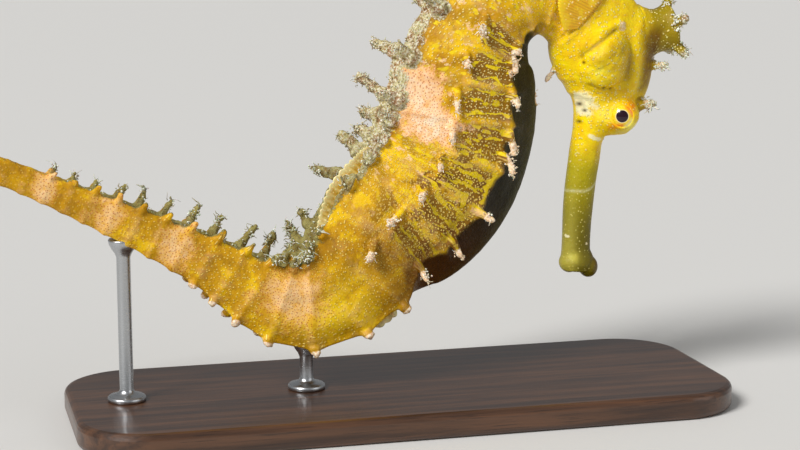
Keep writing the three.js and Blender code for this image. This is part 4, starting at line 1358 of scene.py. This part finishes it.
def fin_sheet(name, root, tip, rays, thick=0.09, ray_thick=0.1, closed_edge=0.12):
    """A thin rayed fin between a root line and a tip line, both functions of a share from 0 to 1.

    The sheet is drawn in between the rays' ends."""
    steps, across = 10, rays * 8 + 1
    u, v = np.linspace(0, 1, across), np.linspace(0, 1, steps + 1)
    beat = np.abs(np.cos(np.pi * u * rays))
    scallop = 1 - closed_edge * (1 - beat)
    feet = root(u)
    mid = feet[None] + (tip(u) - feet)[None] * (v[:, None, None] * scallop[None, :, None])
    out = unit(np.cross(np.gradient(mid, axis=1), np.gradient(mid, axis=0)))
    width = thick / 2 + ray_thick / 2 * beat[None, :] ** 6 * (1 - 0.6 * v[:, None])
    one, two = ((mid + out * w[..., None]).reshape(-1, 3) for w in (width, -width))
    quads = grid_faces(steps + 1, across, closed=False)
    cells = np.arange(len(one)).reshape(steps + 1, across)
    border = np.concatenate([cells[0, :-1], cells[:-1, -1], cells[-1, :0:-1], cells[:0:-1, 0]])
    nxt = np.roll(border, -1)
    rim = np.stack([nxt, border, border + len(one), nxt + len(one)], -1)
    faces = np.concatenate([quads, quads[:, ::-1] + len(one), rim])
    obj = mesh_object("shown_" + name, np.vstack([one, two]), faces)
    add_attribute(obj.data, "ray", np.tile(beat**4, 2 * (steps + 1)))
    add_attribute(obj.data, "rim", np.tile(np.repeat(v, across), 2))
    return obj


def make_median_fin(name, size, material):
    start, end = distance(size["from"]), distance(size["to"])

    def root(u):
        return skin_at(lerp(start, end, u), size["q"], -0.3)

    def tip(u):
        s = lerp(start, end, u)
        line = at(s)
        foot = skin_at(s, size["q"])
        rise = (size["height"] * np.sin(np.pi * lerp(0.12, 0.9, u)) ** 0.6)[:, None]
        ends = foot + unit(foot - line.centre) * rise + 0.25 * line.way * rise
        ends[:, 1] += 0.22 * np.sin(u * 2 * np.pi * 2.5)
        return ends

    return finished(fin_sheet(name, root, tip, size["rays"]), material, [name])


def make_pectoral(name, side, material):
    size = PECTORAL_FIN

    def edge(f):
        def line(u):
            bow = np.sqrt(1 - 0.8 * (2 * u - 1) ** 2)
            q = lerp(size["low"], size["high"], 0.5 + (u - 0.5) * (1 + size["spread"] * f))
            s = distance(size["from"]) + size["length"] * f * bow
            return skin_at(s, q if side > 0 else CORNERS - q, 0.25 + size["lift"] * f)

        return line

    obj = fin_sheet(name, edge(0), edge(1), size["rays"], thick=0.08, ray_thick=0.025, closed_edge=0.02)
    finished(obj, material, [name])


def make_eye(name, centre, gaze, side):
    right = unit(np.cross(gaze, [0, 0, 1]) * side)
    right = right if right[0] > 0 else -right
    up = unit(np.cross(right, gaze))
    up = up if up[2] > 0 else -up
    obj = mesh_object("shown_" + name, *ball(centre, EYE["radius"], 64, 40))
    finished(obj, eye_finish(name, centre, gaze, right, up), [name])


def keel_height(x):
    """The lowest height of the keel over a place x of the stand."""
    keel = skin_at(np.arange(TAIL_AT, distance(25), 0.1), KEEL)
    return keel[np.abs(keel[:, 0] - x) < 0.2, 2].min()


def make_stand():
    length, width, thick, corner = (BASE[k] for k in ("length", "width", "thick", "corner"))
    around = 160
    turn = circle(around)
    middle = np.sign(turn) * (np.array([length, width]) / 2 - corner)
    edge = [*PLAQUE_EDGE, *((inset, thick - z) for inset, z in PLAQUE_EDGE[::-1]), (PLAQUE_RIM, thick)]
    rings = [np.insert(middle + (corner - inset) * turn, 2, z, axis=1) for inset, z in edge]
    points, faces = capped(np.vstack(rings), len(rings), around, (0, 0, 0), (0, 0, thick))
    plaque = mesh_object("stand_plaque", points, faces, smooth=False)
    finished(plaque, wood_finish(), ["stand_base"])
    steel = steel_finish()
    for name, x in ROD_AT.items():
        rest = keel_height(x)
        profile = [(r, thick + h) for r, h in ROD_FOOT] + [(r, rest + h) for r, h in ROD_CUP]
        rod = mesh_object("stand_support_" + name, *turned(profile, (x, 0, 0)))
        finished(rod, steel, ["stand_rod_" + name])


def strands(roots, ways, lengths, radii, curl):
    """Thin bent threads as points, quads and the share along each."""
    count = len(roots)
    t = np.linspace(0, 1, THREAD_RINGS)
    side = unit(np.cross(ways, unit(rng.normal(size=(count, 3)))))
    up = np.cross(ways, side)
    swing = rng.normal(0, 1, (count, 2)) * curl[:, None]
    line = roots[:, None] + ways[:, None] * (t[:, None] * lengths[:, None, None])
    bent = side * swing[:, :1] + up * swing[:, 1:]
    line += bent[:, None] * (t**2)[:, None] * lengths[:, None, None]
    line += rng.normal(0, 0.09, line.shape) * lengths[:, None, None] * (t > 0)[:, None]
    ring = rings_round(side, up, THREAD_SIDES)
    thick = radii[:, None] * lerp(1.0, 0.45, t**2) * rng.uniform(0.75, 1.3, (count, THREAD_RINGS))
    points = line[:, :, None] + ring[:, None] * thick[:, :, None, None]
    per = THREAD_RINGS * THREAD_SIDES
    ends = [-np.arange(THREAD_SIDES) % THREAD_SIDES, np.arange(per - THREAD_SIDES, per)]
    pattern = np.concatenate([grid_faces(THREAD_RINGS, THREAD_SIDES), ends])
    faces = (pattern[None] + (np.arange(count) * per)[:, None, None]).reshape(-1, 4)
    share = np.broadcast_to(t[None, :, None], (count, THREAD_RINGS, THREAD_SIDES)).ravel()
    return points.reshape(-1, 3), faces, share


def make_algae(skin):
    """Short curled threads and grains of algae in tufts on the spines, the crown and the crusted back."""
    length = np.maximum(skin.fuzz, 0.22 * skin.back * (1 - skin.grown))
    weight = np.where(length > 0.1, 0.35 + length, 0) * np.where(skin.fuzz > 0.1, 1.0, 0.25)
    roots = rng.choice(len(skin.points), TUFTS, replace=False, p=weight / weight.sum())
    each = np.repeat(roots, THREADS)
    count = len(each)
    grain = rng.random(count) < 0.5
    spread = rng.normal(0, 0.16, (count, 3))
    ways = unit(skin.normals[each] + rng.normal(0, 0.6, (count, 3)) + [0, 0, 0.2])
    long = np.where(grain, rng.uniform(0.12, 0.24, count), length[each] * rng.uniform(0.4, 1.2, count))
    thick = np.where(grain, rng.uniform(0.08, 0.15, count), rng.uniform(0.05, 0.095, count))
    frost = smoothstep(0.4, 0.8, skin.head[each])
    thick *= lerp(1.0, 1.35, frost)
    long *= lerp(1.0, 0.75, frost)
    start = skin.points[each] + spread - skin.normals[each] * 0.06
    made, faces, share = strands(start, ways, long, thick, np.where(grain, 0.1, 0.9))
    obj = mesh_object("algae", made, faces)
    per = THREAD_RINGS * THREAD_SIDES
    owner = np.repeat(each, per)
    s, q, y = skin.s[owner], skin.q[owner], skin.points[owner, 1]
    for name, values in {
        "tail": lower_share(s),
        "clean": skin.grown[owner] + skin.back[owner] < 0.2,
        "tint": np.repeat(rng.random(count), per),
        "frost": np.repeat(frost, per),
    }.items():
        add_attribute(obj.data, name, values)
    # each tuft gets a small patch of the map, at its place along and round the body
    side = np.where(y > 0, q / CORNERS, 1 - q / CORNERS)
    around = (np.arange(len(made)) % THREAD_SIDES) / (THREAD_SIDES - 1)
    places = np.stack([0.01 + 0.97 * s / END + PATCH * share, 0.01 + 0.97 * side + PATCH * around], -1)
    layer = obj.data.uv_layers.new(name="OFBake")
    layer.uv.foreach_set("vector", places[corners_of(obj.data)].astype(np.float32).ravel())
    finished(obj, algae_finish())


# ---------- stage ----------


def aimed(name, data, azimuth, elevation, far, target=(0, 0, 0)):
    """Puts a light or the camera some mm away from a target and turns it to the target."""
    a, e = math.radians(azimuth), math.radians(elevation)
    away = Vector((math.sin(a) * math.cos(e), -math.cos(a) * math.cos(e), math.sin(e)))
    obj = bpy.data.objects.new(name, data)
    obj.location = (Vector(target) + away * far) * MM
    obj.rotation_euler = (-away).to_track_quat("-Z", "Y").to_euler()
    bpy.context.scene.collection.objects.link(obj)
    return obj


def make_camera():
    camera = bpy.data.cameras.new("view")
    camera.lens = CAMERA["lens"]
    camera.sensor_width = CAMERA["sensor"]
    camera.clip_start = 0.01
    bpy.context.scene.camera = aimed("view", camera, *CAMERA["at"], TARGET)


def make_stage():
    h = FLOOR_HALF
    floor = mesh_object("floor", [(-h, -h, 0), (h, -h, 0), (h, h, 0), (-h, h, 0)], [(0, 1, 2, 3)])
    floor.data.materials.append(Finish("floor").set(Base_Color=paint(*FLOOR), Roughness=0.7))
    world = bpy.data.worlds.new("studio")
    bpy.context.scene.world = world
    world.use_nodes = True
    background = world.node_tree.nodes["Background"]
    background.inputs[0].default_value = paint(*SKY)
    background.inputs[1].default_value = SKY_POWER
    for name, (azimuth, elevation, power, softness) in LIGHTS.items():
        light = bpy.data.lights.new(name, "SUN")
        light.energy = power
        light.angle = math.radians(softness)
        aimed(name, light, azimuth, elevation, LIGHT_FAR)


make_camera()
make_stage()
make_algae(make_skin())
dorsal_finish = fin_finish("fin_dorsal", (200, 156, 40), (232, 200, 110), (240, 222, 160))
# the pectoral fins' edge colour is a painted highlight along their rim, and also tints their blotches
pectoral_finish = fin_finish("fin_pectoral", (226, 170, 0), (206, 148, 0), (248, 206, 8))
make_median_fin("fin_dorsal", DORSAL_FIN, dorsal_finish)
make_median_fin("fin_anal", ANAL_FIN, dorsal_finish)
for word, *place, side in eye_places():
    make_pectoral("fin_pectoral_" + word, side, pectoral_finish)
    make_eye("eye_" + word, *place, side)
make_stand()
bpy.context.scene.view_settings.view_transform = "Standard"
